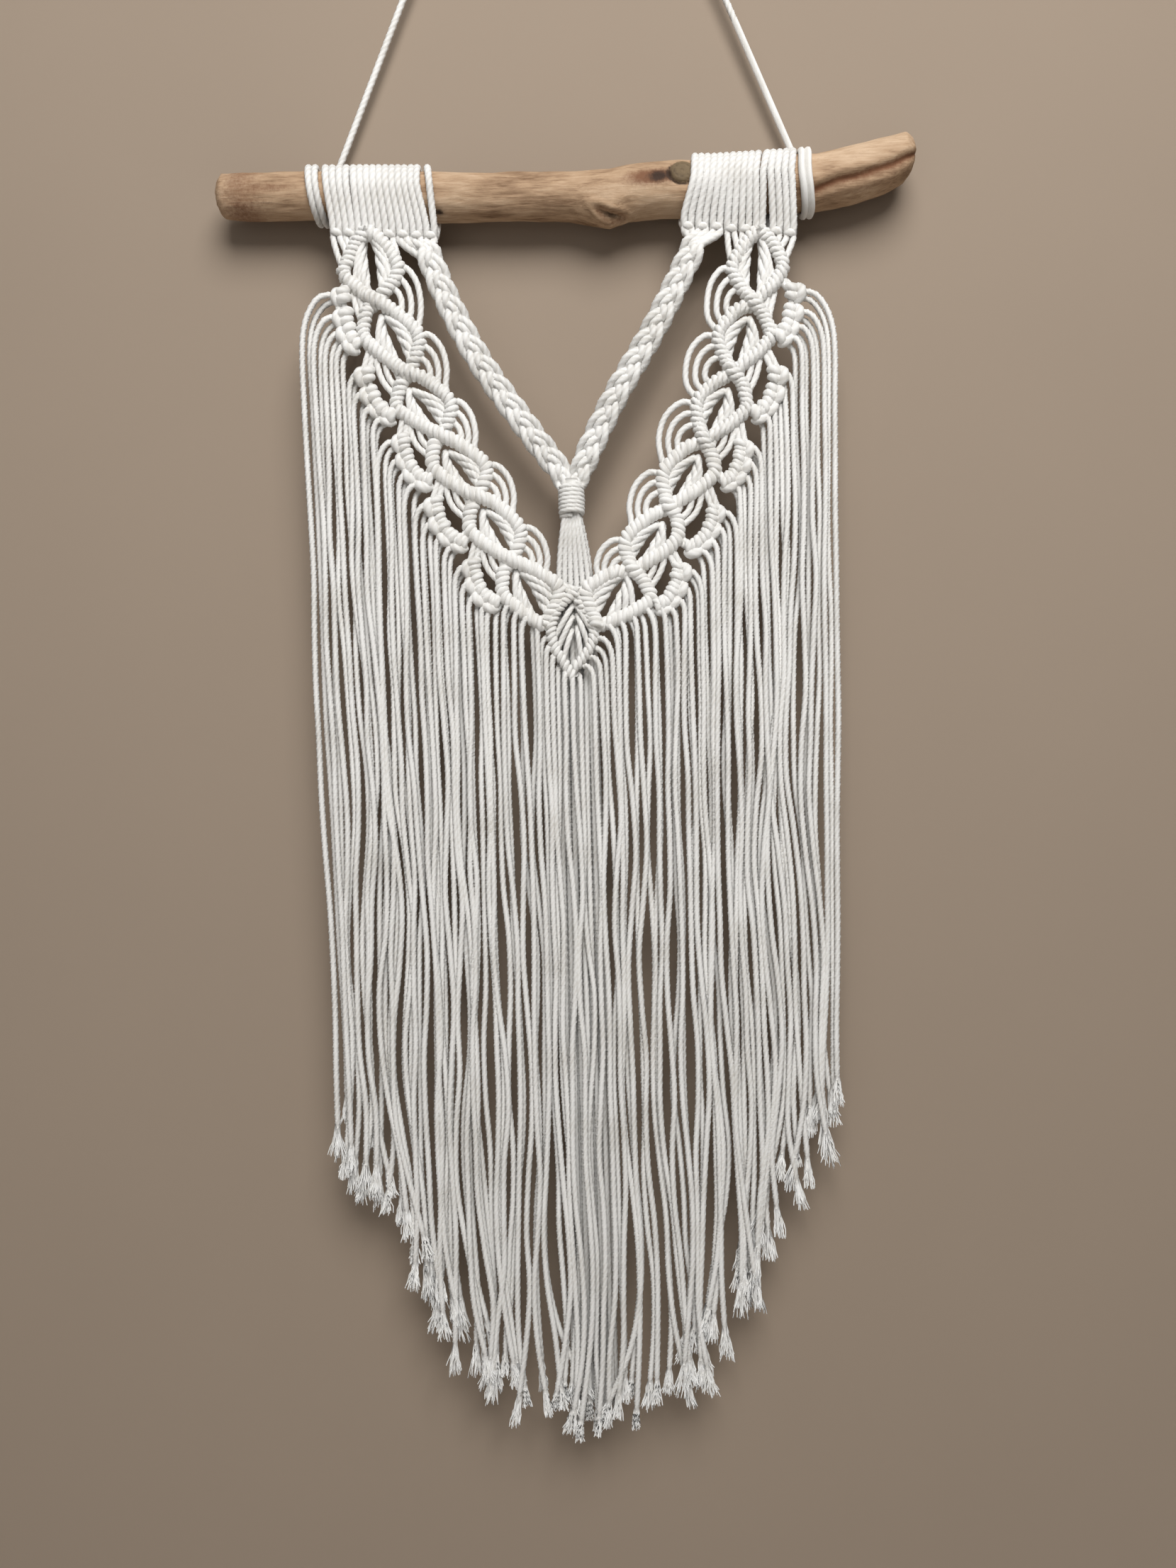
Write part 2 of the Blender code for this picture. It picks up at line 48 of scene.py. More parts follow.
MM = 0.001
CORD_RADIUS = 2.07       # mm, of a cord that isn't pulled tight
LAY = 13.4               # mm of cord in which a ply goes once round
YARN_LAY = 30.0          # mm in which a yarn inside a ply goes once round
PLIES = 3
YARNS = 15               # seen round a cord
PLY_DEPTH = 0.058        # how far the plies stand out, as a share of the radius
FINE_STEP = 0.6          # mm between the points that a smooth route is first worked out at
RING_STEP = 1.5          # mm between the sections of a cord
MERGED = 1e-7            # m within which two points become one
FRONT = Vector((0.0, -1.0, 0.0))

Cord = namedtuple("Cord", "points radius")


def smooth_route(points, step=RING_STEP):
    """Points a step apart on the smooth curve through the given ones, which doesn't overshoot them."""
    points = [Vector(p) for p in points]
    ends = [points[0] * 2 - points[1], *points, points[-1] * 2 - points[-2]]
    fine = []
    for a, b, c, d in zip(ends, ends[1:], ends[2:], ends[3:]):
        at_b = math.sqrt((b - a).length)
        at_c = at_b + math.sqrt((c - b).length)
        at_d = at_c + math.sqrt((d - c).length)
        count = max(int((c - b).length / FINE_STEP), 2)
        for i in range(count):
            t = at_b + (at_c - at_b) * i / count
            share = (t - at_b) / (at_c - at_b)
            first = a.lerp(b, t / at_b)
            second = b.lerp(c, share)
            third = c.lerp(d, (t - at_c) / (at_d - at_c))
            near, far = first.lerp(second, t / at_c), second.lerp(third, (t - at_b) / (at_d - at_b))
            fine.append(near.lerp(far, share))
    fine.append(points[-1])
    return evenly(fine, step)


def evenly(fine, step):
    """The same line with its points an even step apart."""
    walked = np.concatenate([[0.0], np.cumsum([(b - a).length for a, b in zip(fine, fine[1:])])])
    places = np.linspace(0.0, walked[-1], max(int(round(walked[-1] / step)), 2) + 1)
    table = np.array(fine)
    return [Vector(row) for row in np.stack([np.interp(places, walked, table[:, k]) for k in range(3)], 1)]


def flat_outline(name, corners):
    """A closed flat curve through the corners, as the section of a cord."""
    outline = bpy.data.curves.new(name, "CURVE")
    outline.dimensions = "2D"
    spline = outline.splines.new("POLY")
    spline.points.add(len(corners) - 1)
    for point, (x, y) in zip(spline.points, corners):
        point.co = (x, y, 0.0, 1.0)
    spline.use_cyclic_u = True
    return bpy.data.objects.new(name, outline)


def ply_outline(count):
    """The section of a twisted cord, one unit in radius: a lobe for each ply and a hollow between."""
    corners = []
    for i in range(count):
        angle = 2 * math.pi * i / count
        reach = 1.0 + PLY_DEPTH * math.cos(PLIES * angle)
        corners.append((reach * math.cos(angle), reach * math.sin(angle)))
    return flat_outline("ply outline", corners)


FINE_OUTLINE = ply_outline(3 * PLIES)
PLAIN_OUTLINE = ply_outline(2 * PLIES)


def lay_cords(name, cords, closed=False, outline=FINE_OUTLINE):
    """One piece made of all its cords: each is the plies' outline, swept along its route as it twists.

    The map called lay has the turns of the twist along a cord, and the way round it, from 0 to 1.
    """
    curve = bpy.data.curves.new(name, "CURVE")
    curve.dimensions = "3D"
    curve.bevel_mode = "OBJECT"
    curve.bevel_object = outline
    curve.use_fill_caps = not closed
    lengths = []
    for points, radius in cords:
        spline = curve.splines.new("POLY")
        spline.points.add(len(points) - 1)
        spline.use_smooth = True
        spline.use_cyclic_u = closed
        line = [*points, points[0]] if closed else points
        walked = [0.0]
        for a, b in zip(line, line[1:]):
            walked.append(walked[-1] + (b - a).length)
        turns = walked[-1] / LAY
        if closed:
            turns = max(round(turns), 1)
        for i, point in enumerate(spline.points):
            point.co = (*(points[i] * MM), 1.0)
            point.tilt = 2 * math.pi * turns * walked[i] / walked[-1]
            point.radius = (radius[i] if isinstance(radius, list) else radius) * MM
        lengths.append((turns, len(points) - (0 if closed else 1)))
    maker = bpy.data.objects.new(name + " line", curve)
    bpy.context.scene.collection.objects.link(maker)
    bpy.context.view_layer.update()
    mesh = bpy.data.meshes.new_from_object(maker.evaluated_get(bpy.context.evaluated_depsgraph_get()))
    bpy.data.objects.remove(maker)
    stretch_map(mesh, lengths, len(outline.data.splines[0].points), closed)
    work = bmesh.new()
    work.from_mesh(mesh)
    bmesh.ops.remove_doubles(work, verts=work.verts, dist=MERGED)
    work.to_mesh(mesh)
    work.free()
    piece = bpy.data.objects.new(name, mesh)
    bpy.context.scene.collection.objects.link(piece)
    return piece


def stretch_map(mesh, lengths, corners, closed):
    """Turns the share of a cord's length in its map into turns of the twist."""
    layer = mesh.uv_layers[0]
    layer.name = "lay"
    values = np.zeros(len(mesh.loops) * 2, np.float32)
    layer.data.foreach_get("uv", values)
    values = values.reshape(-1, 2)
    start = 0 if closed else 3 * 2 * (corners - 2) * len(lengths)     # past both caps of every cord
    for turns, spans in lengths:
        count = 4 * corners * spans
        values[start:start + count, 0] *= turns
        start += count
    layer.data.foreach_set("uv", values.ravel())


def add_node(tree, kind, settings=None, **inputs):
    """A shader node with its settings, and its sockets set or linked."""
    made = tree.nodes.new(kind)
    for key, value in (settings or {}).items():
        setattr(made, key, value)
    for key, value in inputs.items():
        socket = made.inputs[int(key[1:])] if key[0] == "_" else made.inputs[key.replace("_", " ")]
        if isinstance(value, bpy.types.NodeSocket):
            tree.links.new(value, socket)
        else:
            socket.default_value = value
    return made


def maths(tree, operation, a, b=0.0):
    """One sum on two numbers, either of which may come from another node."""
    return add_node(tree, "ShaderNodeMath", {"operation": operation}, _0=a, _1=b).outputs[0]


def clouded(tree, where, scale, detail, **settings):
    """Noise from 0 to 1, at so many blotches to the metre."""
    return add_node(tree, "ShaderNodeTexNoise", None, Vector=where, Scale=scale, Detail=detail,
                    **settings).outputs["Fac"]


def toned(tree, value, *stops):
    """The colour of a value: each stop has its place from 0 to 1, and its colour."""
    ramp = add_node(tree, "ShaderNodeValToRGB", None, Fac=value)
    low, high = ramp.color_ramp.elements
    low.position, high.position = stops[0][0], stops[-1][0]
    low.color, high.color = (*stops[0][1], 1.0), (*stops[-1][1], 1.0)
    for place, colour in stops[1:-1]:
        ramp.color_ramp.elements.new(place).color = (*colour, 1.0)
    return ramp.outputs[0]


def new_finish(name, **sockets):
    """A finish with these values on its shader's own sockets, with its tree and its shader."""
    finish = bpy.data.materials.new(name)
    finish.use_nodes = True
    shader = finish.node_tree.nodes["Principled BSDF"]
    for socket, value in sockets.items():
        shader.inputs[socket.replace("_", " ")].default_value = value
    return finish, finish.node_tree, shader


def cotton_finish():
    """Undyed soft cotton: fine yarns along the plies, loose fibres, and a darker, warmer painted shade in the
    hollows.
    """
    finish, tree, shader = new_finish("undyed cotton cord", Roughness=0.95, Specular_IOR_Level=0.15,
                                      Sheen_Weight=0.25, Sheen_Roughness=0.6)
    lay = add_node(tree, "ShaderNodeUVMap", {"uv_map": "lay"}).outputs[0]
    split = add_node(tree, "ShaderNodeSeparateXYZ", None, Vector=lay)
    along, around = split.outputs[0], split.outputs[1]
    slope = YARNS * (1.0 - LAY / YARN_LAY)
    phase = maths(tree, "ADD", maths(tree, "MULTIPLY", around, YARNS), maths(tree, "MULTIPLY", along, slope))
    yarn = maths(tree, "SINE", maths(tree, "MULTIPLY", phase, 2 * math.pi))
    ply = maths(tree, "COSINE", maths(tree, "MULTIPLY", around, 2 * math.pi * PLIES))
    where = add_node(tree, "ShaderNodeTexCoord").outputs["Object"]
    fibres = clouded(tree, where, 2300.0, 3.0, Roughness=0.65)
    patches = clouded(tree, where, 38.0, 3.0, Roughness=0.55)
    height = maths(tree, "ADD", maths(tree, "MULTIPLY", yarn, 0.10), fibres)
    # painted shade: the colour is darker in the hollows between the plies and between the yarns
    hollow_shade = maths(tree, "ADD", maths(tree, "MULTIPLY", yarn, 0.08), maths(tree, "MULTIPLY", ply, 0.16))
    tone = maths(tree, "ADD", maths(tree, "ADD", hollow_shade, patches), maths(tree, "MULTIPLY", fibres, 0.5))
    colour = toned(tree, tone, (0.25, (0.60, 0.575, 0.525)), (0.85, (0.88, 0.872, 0.85)))
    bump = add_node(tree, "ShaderNodeBump", None, Height=height, Strength=0.55, Distance=0.00035)
    tree.links.new(colour, shader.inputs["Base Color"])
    tree.links.new(bump.outputs[0], shader.inputs["Normal"])
    return finish


COTTON = cotton_finish()


def dress(piece, finish, slot, *nodes):
    """The piece's finish, and what it stands for on the hanging."""
    piece.data.materials.clear()
    piece.data.materials.append(finish)
    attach(piece, "root")
    if nodes:
        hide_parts(*nodes)


StickRow = namedtuple("StickRow", "x z radius")     # mm
STICK_DEPTH = -9.0
STICK_ROWS = [
    StickRow(-205.5, -349.5, 9.5),
    StickRow(-203.0, -349.6, 12.4),
    StickRow(-190.0, -349.8, 13.5),
    StickRow(-155.0, -350.2, 13.6),
    StickRow(-71.0, -352.6, 14.2),
    StickRow(-41.0, -353.0, 13.6),
    StickRow(1.0, -353.8, 13.7),
    StickRow(14.0, -354.8, 15.0),
    StickRow(26.0, -355.5, 16.3),
    StickRow(37.0, -352.6, 15.8),
    StickRow(56.0, -351.2, 15.7),
    StickRow(68.0, -350.8, 16.0),
    StickRow(86.0, -350.8, 15.6),
    StickRow(148.0, -348.5, 16.1),
    StickRow(170.0, -344.6, 16.6),
    StickRow(191.0, -338.9, 15.8),
    StickRow(201.0, -334.9, 14.6),
    StickRow(205.5, -333.4, 10.5),
]


def stick_at(x):
    """The height of the stick's axis at x, and its radius there."""
    columns = list(zip(*STICK_ROWS))
    return float(np.interp(x, columns[0], columns[1])), float(np.interp(x, columns[0], columns[2]))


def round_stick(angle, x, clear):
    """A point on the stick at x: 0 is on top, a quarter turn is in front, a half turn is below."""
    z, radius = stick_at(x)
    reach = radius + clear
    return Vector((x, STICK_DEPTH - reach * math.sin(angle), z + reach * math.cos(angle)))


NAIL_BEND = 4.5                       # mm from the bend's centre to the cord's middle
NAIL_GAP = 1.0                        # mm from the nail's middle to where each bend runs level
HANGER_CLEAR = 1.6                    # mm from the wood to the middle of the cord round it
LEG_LEAN = math.radians(22.0)         # of each leg from upright
Turn = namedtuple("Turn", "low front top")      # where a turn passes under, before and over the stick
LEFT_TURNS = [Turn(-147.0, -149.5, -151.8), Turn(-143.2, -145.8, -147.8)]
RIGHT_TURNS = [Turn(145.6, 141.2, 143.6), Turn(141.9, 137.4, 139.8)]
LEFT_FOOT, RIGHT_FOOT = (-141.0, 4.5, -337.0), (139.4, 3.5, -328.8)


def hanger_turns(turns, foot):
    """Round the stick from behind its underside: up in front, over the top and down behind, twice."""
    points = []
    followed = [turn.low for turn in turns[1:]] + [foot[0]]
    for turn, behind in zip(turns, followed):
        for angle in range(200, -160, -20):
            x = np.interp(angle, (-160, 0, 90, 170), (behind, turn.top, turn.front, turn.low))
            points.append(round_stick(math.radians(angle), float(x), HANGER_CLEAR))
    return points[:-6]       # the leg takes over where the last turn has come over the top


def hanger_leg(foot, side):
    """From the stick straight up to the nail, and over half of it."""
    bend = []
    for i in range(5):
        angle = LEG_LEAN * (1 - i / 4)
        bend.append(Vector((side * (NAIL_GAP + NAIL_BEND * math.sin(angle)), 0.0,
                            CORD_RADIUS - NAIL_BEND * (1 - math.cos(angle)))))
    foot = Vector(foot)
    return [foot, foot.lerp(bend[0], 0.03), foot.lerp(bend[0], 0.5), foot.lerp(bend[0], 0.98), *bend]


left_half = hanger_turns(LEFT_TURNS, LEFT_FOOT) + hanger_leg(LEFT_FOOT, -1)
right_half = hanger_turns(RIGHT_TURNS, RIGHT_FOOT) + hanger_leg(RIGHT_FOOT, 1)
hanger = lay_cords("hanging_cord", [Cord(smooth_route(left_half + right_half[::-1]), CORD_RADIUS)])
dress(hanger, COTTON, "cotton_cord",
      "hanging_cord_left", "hanging_cord_right", "hanging_turns_left", "hanging_turns_right")

# ---------------------------------------------------------------------------------------------------
# Driftwood stick. A bare branch, worn smooth by water: it thickens to a bulge with an open knot left
# of the right-hand loops, has a round knot beside them, a long groove, and rough ends.
# ---------------------------------------------------------------------------------------------------

SIDES = 84
STICK_STEP = 1.3             # mm between the rings of the stick
END_BULGE, END_SHARE = 1.2, 0.72      # how far a worn end stands out in mm, and its width by the last ring's
END_CHIPS = 0.0004           # m that an end is uneven
BARE = 0.975                 # the wood's radius between its bumps, as a share of the stick's
EYE_SLANT = 0.45             # how much the open knot's slit climbs along the stick
KNOT_RADIUS = 7.0            # mm, of the round knot
ARC = 16.0                   # mm round the stick in one radian
SLIM_ARC = 14.0              # the same where it is slimmer, on the left
EYE = (26.3, 2.60)           # the open knot: its x, and its angle round the stick from the top
ROUND_KNOT = (68.3, 1.30)
SCORCH = (54.5, 1.42)        # a dark hollow beside the round knot
GROOVE = ((136.0, 142.0, 159.0, 193.0, 206.0), (2.36, 2.29, 2.05, 2.0, 1.95))


def open_edges(verts):
    """The edges at these points that have less than two faces, each once."""
    met = [edge for vert in verts for edge in vert.link_edges if len(edge.link_faces) < 2]
    return list(dict.fromkeys(met))


def driftwood_mesh():
    """Rings pulled out of a first circle along the branch, each with the bumps and marks of the wood and its
    painted shade.
    """
    work = bmesh.new()
    marks_and_shade = work.verts.layers.float_color.new("marks_and_shade")
    first, last = STICK_ROWS[0].x, STICK_ROWS[-1].x
    count = int((last - first) / STICK_STEP)
    rings = [bmesh.ops.create_circle(work, cap_ends=False, segments=SIDES, radius=1.0)["verts"]]
    edges = open_edges(rings[0])
    for _ in range(count):
        pulled = bmesh.ops.extrude_edge_only(work, edges=edges)["geom"]
        edges = [part for part in pulled if isinstance(part, bmesh.types.BMEdge)]
        rings.append([part for part in pulled if isinstance(part, bmesh.types.BMVert)])
    for i, verts in enumerate(rings):
        x = first + (last - first) * i / count
        for vert in verts:
            angle = math.atan2(vert.co.y, vert.co.x) % (2 * math.pi)
            vert.co = wood_surface(x, angle) * MM
            vert[marks_and_shade] = (*wood_marks_and_shade(x, angle), 1.0)
    for verts, x in ((rings[0], first - END_BULGE), (rings[-1], last + END_BULGE)):
        cap = bmesh.ops.extrude_edge_only(work, edges=open_edges(verts))["geom"]
        inner = [part for part in cap if isinstance(part, bmesh.types.BMVert)]
        centre = sum((vert.co for vert in inner), Vector()) / len(inner)
        for vert in inner:
            vert.co = centre + (vert.co - centre) * END_SHARE
            vert.co.x = x * MM + END_CHIPS * noise.noise(vert.co * 400)
        bmesh.ops.contextual_create(work, geom=open_edges(inner))
    bmesh.ops.recalc_face_normals(work, faces=work.faces)
    mesh = bpy.data.meshes.new("driftwood")
    work.to_mesh(mesh)
    work.free()
    mesh.shade_smooth()
    return mesh


def bell(distance, width=1.0):
    """1 over a mark, and less the farther off it is."""
    return math.exp(-(distance / width) ** 2)


def from_mark(x, angle, place):
    """How far a point is from a mark, along the stick and round it, in millimetres."""
    return x - place[0], (angle - place[1]) * ARC


def wood_surface(x, angle):
    """The stick's surface at x, in millimetres; the angle is 0 on top and a quarter turn in front.

    Each bell raises or lowers the wood by so many millimetres over a mark and fades out round it.
    """
    z, radius = stick_at(x)
    place = Vector((x * 0.035, math.cos(angle) * 1.3, math.sin(angle) * 1.3))
    reach = radius * BARE + 0.6 * noise.noise(place) + 0.3 * noise.noise(place * 3.1)
    fibre = Vector((x * 0.05, math.cos(angle) * 7.0, math.sin(angle) * 7.0))
    reach += 0.2 * noise.noise(fibre)
    along, up = from_mark(x, angle, EYE)
    slit = up - EYE_SLANT * along
    lids = math.hypot(along / 8.6, slit / 4.0)
    reach += 2.0 * bell(math.hypot(along / 14.0, up / 11.0)) + 1.0 * bell(lids - 1.45, 0.35)
    reach -= 3.0 * bell(math.hypot(along / 7.4, slit / 2.1))
    rim = math.hypot(*from_mark(x, angle, ROUND_KNOT)) / KNOT_RADIUS
    reach += 1.5 / (1 + math.exp((rim - 1.0) * 11)) - 1.2 * bell(rim - 1.14, 0.14)
    reach += 0.3 * math.cos(rim * 15.0) * (rim < 1.0) - 0.8 * bell(rim, 0.22)
    along, up = from_mark(x, angle, SCORCH)
    reach -= 1.1 * bell(math.hypot(along / 7.0, up / 4.5))
    if x > GROOVE[0][0]:
        across = (angle - np.interp(x, *GROOVE)) * ARC
        depth = min((x - GROOVE[0][0]) / 12.0, 1.0)
        lips = 0.9 * bell(across + 5.2, 3.2) + 1.1 * bell(across - 5.4, 3.4)
        reach += depth * (lips - 1.9 * bell(across, 2.4))
    for end in (STICK_ROWS[0].x, STICK_ROWS[-1].x):
        chips = noise.noise(Vector((x * 0.3, math.cos(angle) * 5, math.sin(angle) * 5)))
        reach += 0.7 * bell(x - end, 6.0) * chips
    return Vector((x, STICK_DEPTH - reach * math.sin(angle), z + reach * math.cos(angle)))


def wood_marks_and_shade(x, angle):
    """How far the wood is darkened, reddened, and turned olive, each from 0 to 1; the darkening is dark
    marks, and painted shade in the knots' hollows, the groove and a small hole.
    """
    along, up = from_mark(x, angle, EYE)
    slit = up - EYE_SLANT * along
    # painted shade: dark in the open knot's slit, where the wood is hollowed out
    scorch_and_shade = 0.85 * bell(math.hypot(along / 7.0, slit / 2.1))
    red = 0.55 * bell(math.hypot(along / 7.6, slit / 3.4) - 1.0, 0.5)
    rim = math.hypot(*from_mark(x, angle, ROUND_KNOT)) / KNOT_RADIUS
    # painted shade: a dark ring in the groove round the round knot, one in a trough of its ripples, and dark
    # in its sunken middle
    scorch_and_shade += 0.95 * bell(rim - 1.14, 0.13) + 0.5 * bell(rim - 0.62, 0.09) + 0.6 * bell(rim, 0.2)
    olive = 1 / (1 + math.exp((rim - 1.1) * 14))
    along, up = from_mark(x, angle, SCORCH)
    scorch_and_shade += 1.1 * bell(math.hypot(along / 6.5, up / 4.2))
    red += 1.2 * bell(math.hypot((along + 3.0) / 17.0, up / 5.5))
    across = (angle - float(np.interp(x, *GROOVE))) * ARC
    ramp = min(max((x - GROOVE[0][0]) / 10.0, 0.0), 1.0)
    red += ramp * (1.0 * bell(across, 2.6) + 0.35 * bell(across - 6.5, 4.0))
    # painted shade: dark down the bottom of the groove near x = 172 mm
    scorch_and_shade += ramp * 0.4 * bell(across, 1.2) * bell((x - 172.0) / 24.0)
    # painted shade: a small dark hole just right of the last left-hand loop, low on the stick's front, with
    # no hollow in the wood
    scorch_and_shade += bell(math.hypot((x + 75.0) / 3.2, (angle - 2.62) * SLIM_ARC / 2.6))
    red += 0.6 * bell(math.hypot((x + 190.0) / 16.0, 0.3 * math.sin(angle)))
    red += 0.5 * bell(math.hypot((x + 168.0) / 12.0, (angle - 1.6) * SLIM_ARC / 3.0))
    scorch_and_shade += 0.35 * bell(math.hypot((x + 172.0) / 22.0, (angle - 2.25) * SLIM_ARC / 1.6))
    return min(scorch_and_shade, 1.0), min(red, 1.0), min(olive, 1.0)


def driftwood_finish():
    """Tan wood with long grain; the marks darken it (dark marks and painted shade), redden it or turn it
    olive, with ragged edges.
    """
    finish, tree, shader = new_finish("driftwood", Specular_IOR_Level=0.25)
    where = add_node(tree, "ShaderNodeTexCoord").outputs["Object"]
    drawn_out = add_node(tree, "ShaderNodeMapping", None, Vector=where, Scale=(0.09, 1.0, 1.0)).outputs[0]
    grain = clouded(tree, drawn_out, 820.0, 6.0, Roughness=0.62, Distortion=0.5)
    broad = add_node(tree, "ShaderNodeMapping", None, Vector=where, Scale=(0.35, 1.0, 1.0)).outputs[0]
    stain = clouded(tree, broad, 62.0, 5.0, Roughness=0.6)
    speckle = clouded(tree, where, 420.0, 4.0, Roughness=0.7)
    mixed = maths(tree, "ADD", maths(tree, "MULTIPLY", grain, 0.38), maths(tree, "MULTIPLY", stain, 0.70))
    colour = toned(tree, mixed, (0.38, (0.200, 0.118, 0.067)), (0.52, (0.430, 0.287, 0.178)),
                   (0.68, (0.600, 0.438, 0.298)))
    marks_and_shade_colour = add_node(tree, "ShaderNodeAttribute", {"attribute_name": "marks_and_shade"}).outputs["Color"]
    marks_and_shade = add_node(tree, "ShaderNodeSeparateColor", None, Color=marks_and_shade_colour)
    ragged = maths(tree, "MULTIPLY", maths(tree, "SUBTRACT", maths(tree, "ADD", stain, speckle), 1.0), 0.8)
    # the Red channel is the darkening, both dark marks and painted shade, and turns the wood nearly black
    for channel, tint in (("Green", (0.165, 0.066, 0.030)), ("Blue", (0.150, 0.110, 0.062)),
                          ("Red", (0.030, 0.016, 0.010))):
        share = add_node(tree, "ShaderNodeMapRange", {"interpolation_type": "SMOOTHSTEP"},
                         Value=maths(tree, "ADD", marks_and_shade.outputs[channel], ragged),
                         From_Min=0.15, From_Max=0.95, To_Min=0.0, To_Max=0.92).outputs[0]
        mix = add_node(tree, "ShaderNodeMix", {"data_type": "RGBA"}, Factor=share, _6=colour)
        mix.inputs[7].default_value = (*tint, 1.0)
        colour = mix.outputs[2]
    height = maths(tree, "ADD", grain, maths(tree, "MULTIPLY", speckle, 0.35))
    bump = add_node(tree, "ShaderNodeBump", None, Height=height, Strength=0.5, Distance=0.0007)
    rough = add_node(tree, "ShaderNodeMapRange", None, Value=stain, From_Min=0.3, From_Max=0.7,
                     To_Min=0.82, To_Max=0.62)
    tree.links.new(colour, shader.inputs["Base Color"])
    tree.links.new(bump.outputs[0], shader.inputs["Normal"])
    tree.links.new(rough.outputs[0], shader.inputs["Roughness"])
    return finish


stick = bpy.data.objects.new("driftwood", driftwood_mesh())
bpy.context.scene.collection.objects.link(stick)
dress(stick, driftwood_finish(), "driftwood", "driftwood_stick")

# ---------------------------------------------------------------------------------------------------
# Mounting loops. Each working cord is folded in half and hung over the stick; its two ends pass round
# the stick and out under a lark's head, whose bight lies across them below the wood.
# ---------------------------------------------------------------------------------------------------

HEAD_DEPTH = -17.0
LEG_GAP = 1.8            # mm from the middle of a head to each of the two cords that leave it
LOOP_CLEAR = 1.5         # mm from the wood to the middle of a loop's cord
LOOP_RADIUS = 2.16
BIGHT_RADIUS = 2.1
# The points of a bight from the middle of its head: mm across, mm back, and the share of its slant
BIGHT = [(-1.0, 3.0, 0.8), (-1.7, 0.6, 0.5), (-1.1, -2.0, 0.2), (0.0, -2.7, 0.0), (1.1, -2.0, -0.2),
         (1.7, 0.6, -0.5), (1.0, 3.0, -0.8)]
Run = namedtuple("Run", "count tops fronts lows")     # loops side by side: where its first and last lie
LEFT_RUNS = [
    Run(4, (-141.9, -129.6), (-139.4, -127.8), (-137.0, -125.8)),
    Run(11, (-125.4, -87.4), (-123.3, -86.6), (-122.0, -82.1)),
    Run(1, (-82.0, -82.0), (-79.1, -79.1), (-77.5, -77.5)),
]
RIGHT_RUNS = [
    Run(11, (77.2, 115.2), (74.9, 110.8), (69.3, 111.4)),
    Run(1, (121.1, 121.1), (115.1, 115.1), (115.1, 115.1)),
    Run(4, (124.1, 135.5), (119.4, 131.6), (121.3, 133.4)),
]
Mounting = namedtuple("Mounting", "loops heads heights")


def hung_loops(runs, first_height, last_height):
    """Where each loop passes over, before and under the stick, and the place of each head."""
    loops = []
    for run in runs:
        for share in np.linspace(0.0, 1.0, run.count):
            loops.append([ends[0] + (ends[1] - ends[0]) * share for ends in (run.tops, run.fronts, run.lows)])
    heads = [(a[2] + b[2]) / 2 for a, b in zip(loops[::2], loops[1::2])]
    return Mounting(loops, heads, list(np.linspace(first_height, last_height, len(heads))))


LEFT_MOUNT = hung_loops(LEFT_RUNS, -376.2, -379.4)
RIGHT_MOUNT = hung_loops(RIGHT_RUNS, -376.2, -381.6)


# A loop's way into its head and out behind it: its depth in mm, and its height above the head's middle
INTO_HEAD = ((-19.6, 5.0), (-18.0, 0.9), (-15.6, 0.0), (-13.0, 1.9))


def hung_loop(top, front, low, height):
    """One loop: over the stick, straight down from its front to the head, and back behind it."""
    route = []
    for angle in range(-90, 115, 15):
        x = np.interp(angle, (-155, 0, 60, 90, 180), (low, top, front * 0.7 + top * 0.3, front, low))
        route.append(round_stick(math.radians(angle), float(x), LOOP_CLEAR))
    for depth, rise in INTO_HEAD:
        route.append((low, depth, height + rise))
    for angle in (-150, -120, -90):
        x = np.interp(angle, (-155, 0), (low, top))
        route.append(round_stick(math.radians(angle), float(x), LOOP_CLEAR))
    return smooth_route(route)[:-1]


def build_mounting(name, mount, seed, node):
    """A row of loops, each hung a little unevenly, and a bight across every two of them."""
    shake = random.Random(seed)
    loops = []
    for i, (top, front, low) in enumerate(mount.loops):
        height = mount.heights[i // 2] + shake.uniform(-0.3, 0.5)
        loops.append(Cord(hung_loop(top + shake.uniform(-0.2, 0.2), front, low, height),
                          LOOP_RADIUS * shake.uniform(0.98, 1.03)))
    dress(lay_cords(f"{name}_wraps", loops, closed=True), COTTON, "cotton_cord", node)
    bights = []
    for x, z in zip(mount.heads, mount.heights):
        z += shake.uniform(-0.6, 0.3)
        tip = shake.uniform(-0.6, 1.6)
        route = [(x + across, HEAD_DEPTH + back, z + share * tip) for across, back, share in BIGHT]
        bights.append(Cord(smooth_route(route, 1.0), BIGHT_RADIUS))
    dress(lay_cords(f"{name}_heads", bights), COTTON, "cotton_cord")


build_mounting("loops_left", LEFT_MOUNT, 3, "mounting_loops_left")
build_mounting("loops_right", RIGHT_MOUNT, 5, "mounting_loops_right")

# ---------------------------------------------------------------------------------------------------
# Knotted columns. Two holding cords cross and part again down each column; the working cords are tied
# on them in double half hitches, fan out inside each leaf, loop out at each crossing, and leave on the
# outer side through a short chain of square knots.
# ---------------------------------------------------------------------------------------------------

CLOTH_DEPTH = -18.0
BAR_REACH = 2.5          # mm from a bar's middle to the middle of the cord hitched round it
HITCH_PITCH = 3.3
HITCH_RADIUS = 1.95
TURN_POINTS = 11         # points in one turn of a hitch
WORKING_RADIUS = 1.92    # of a working cord between its knots

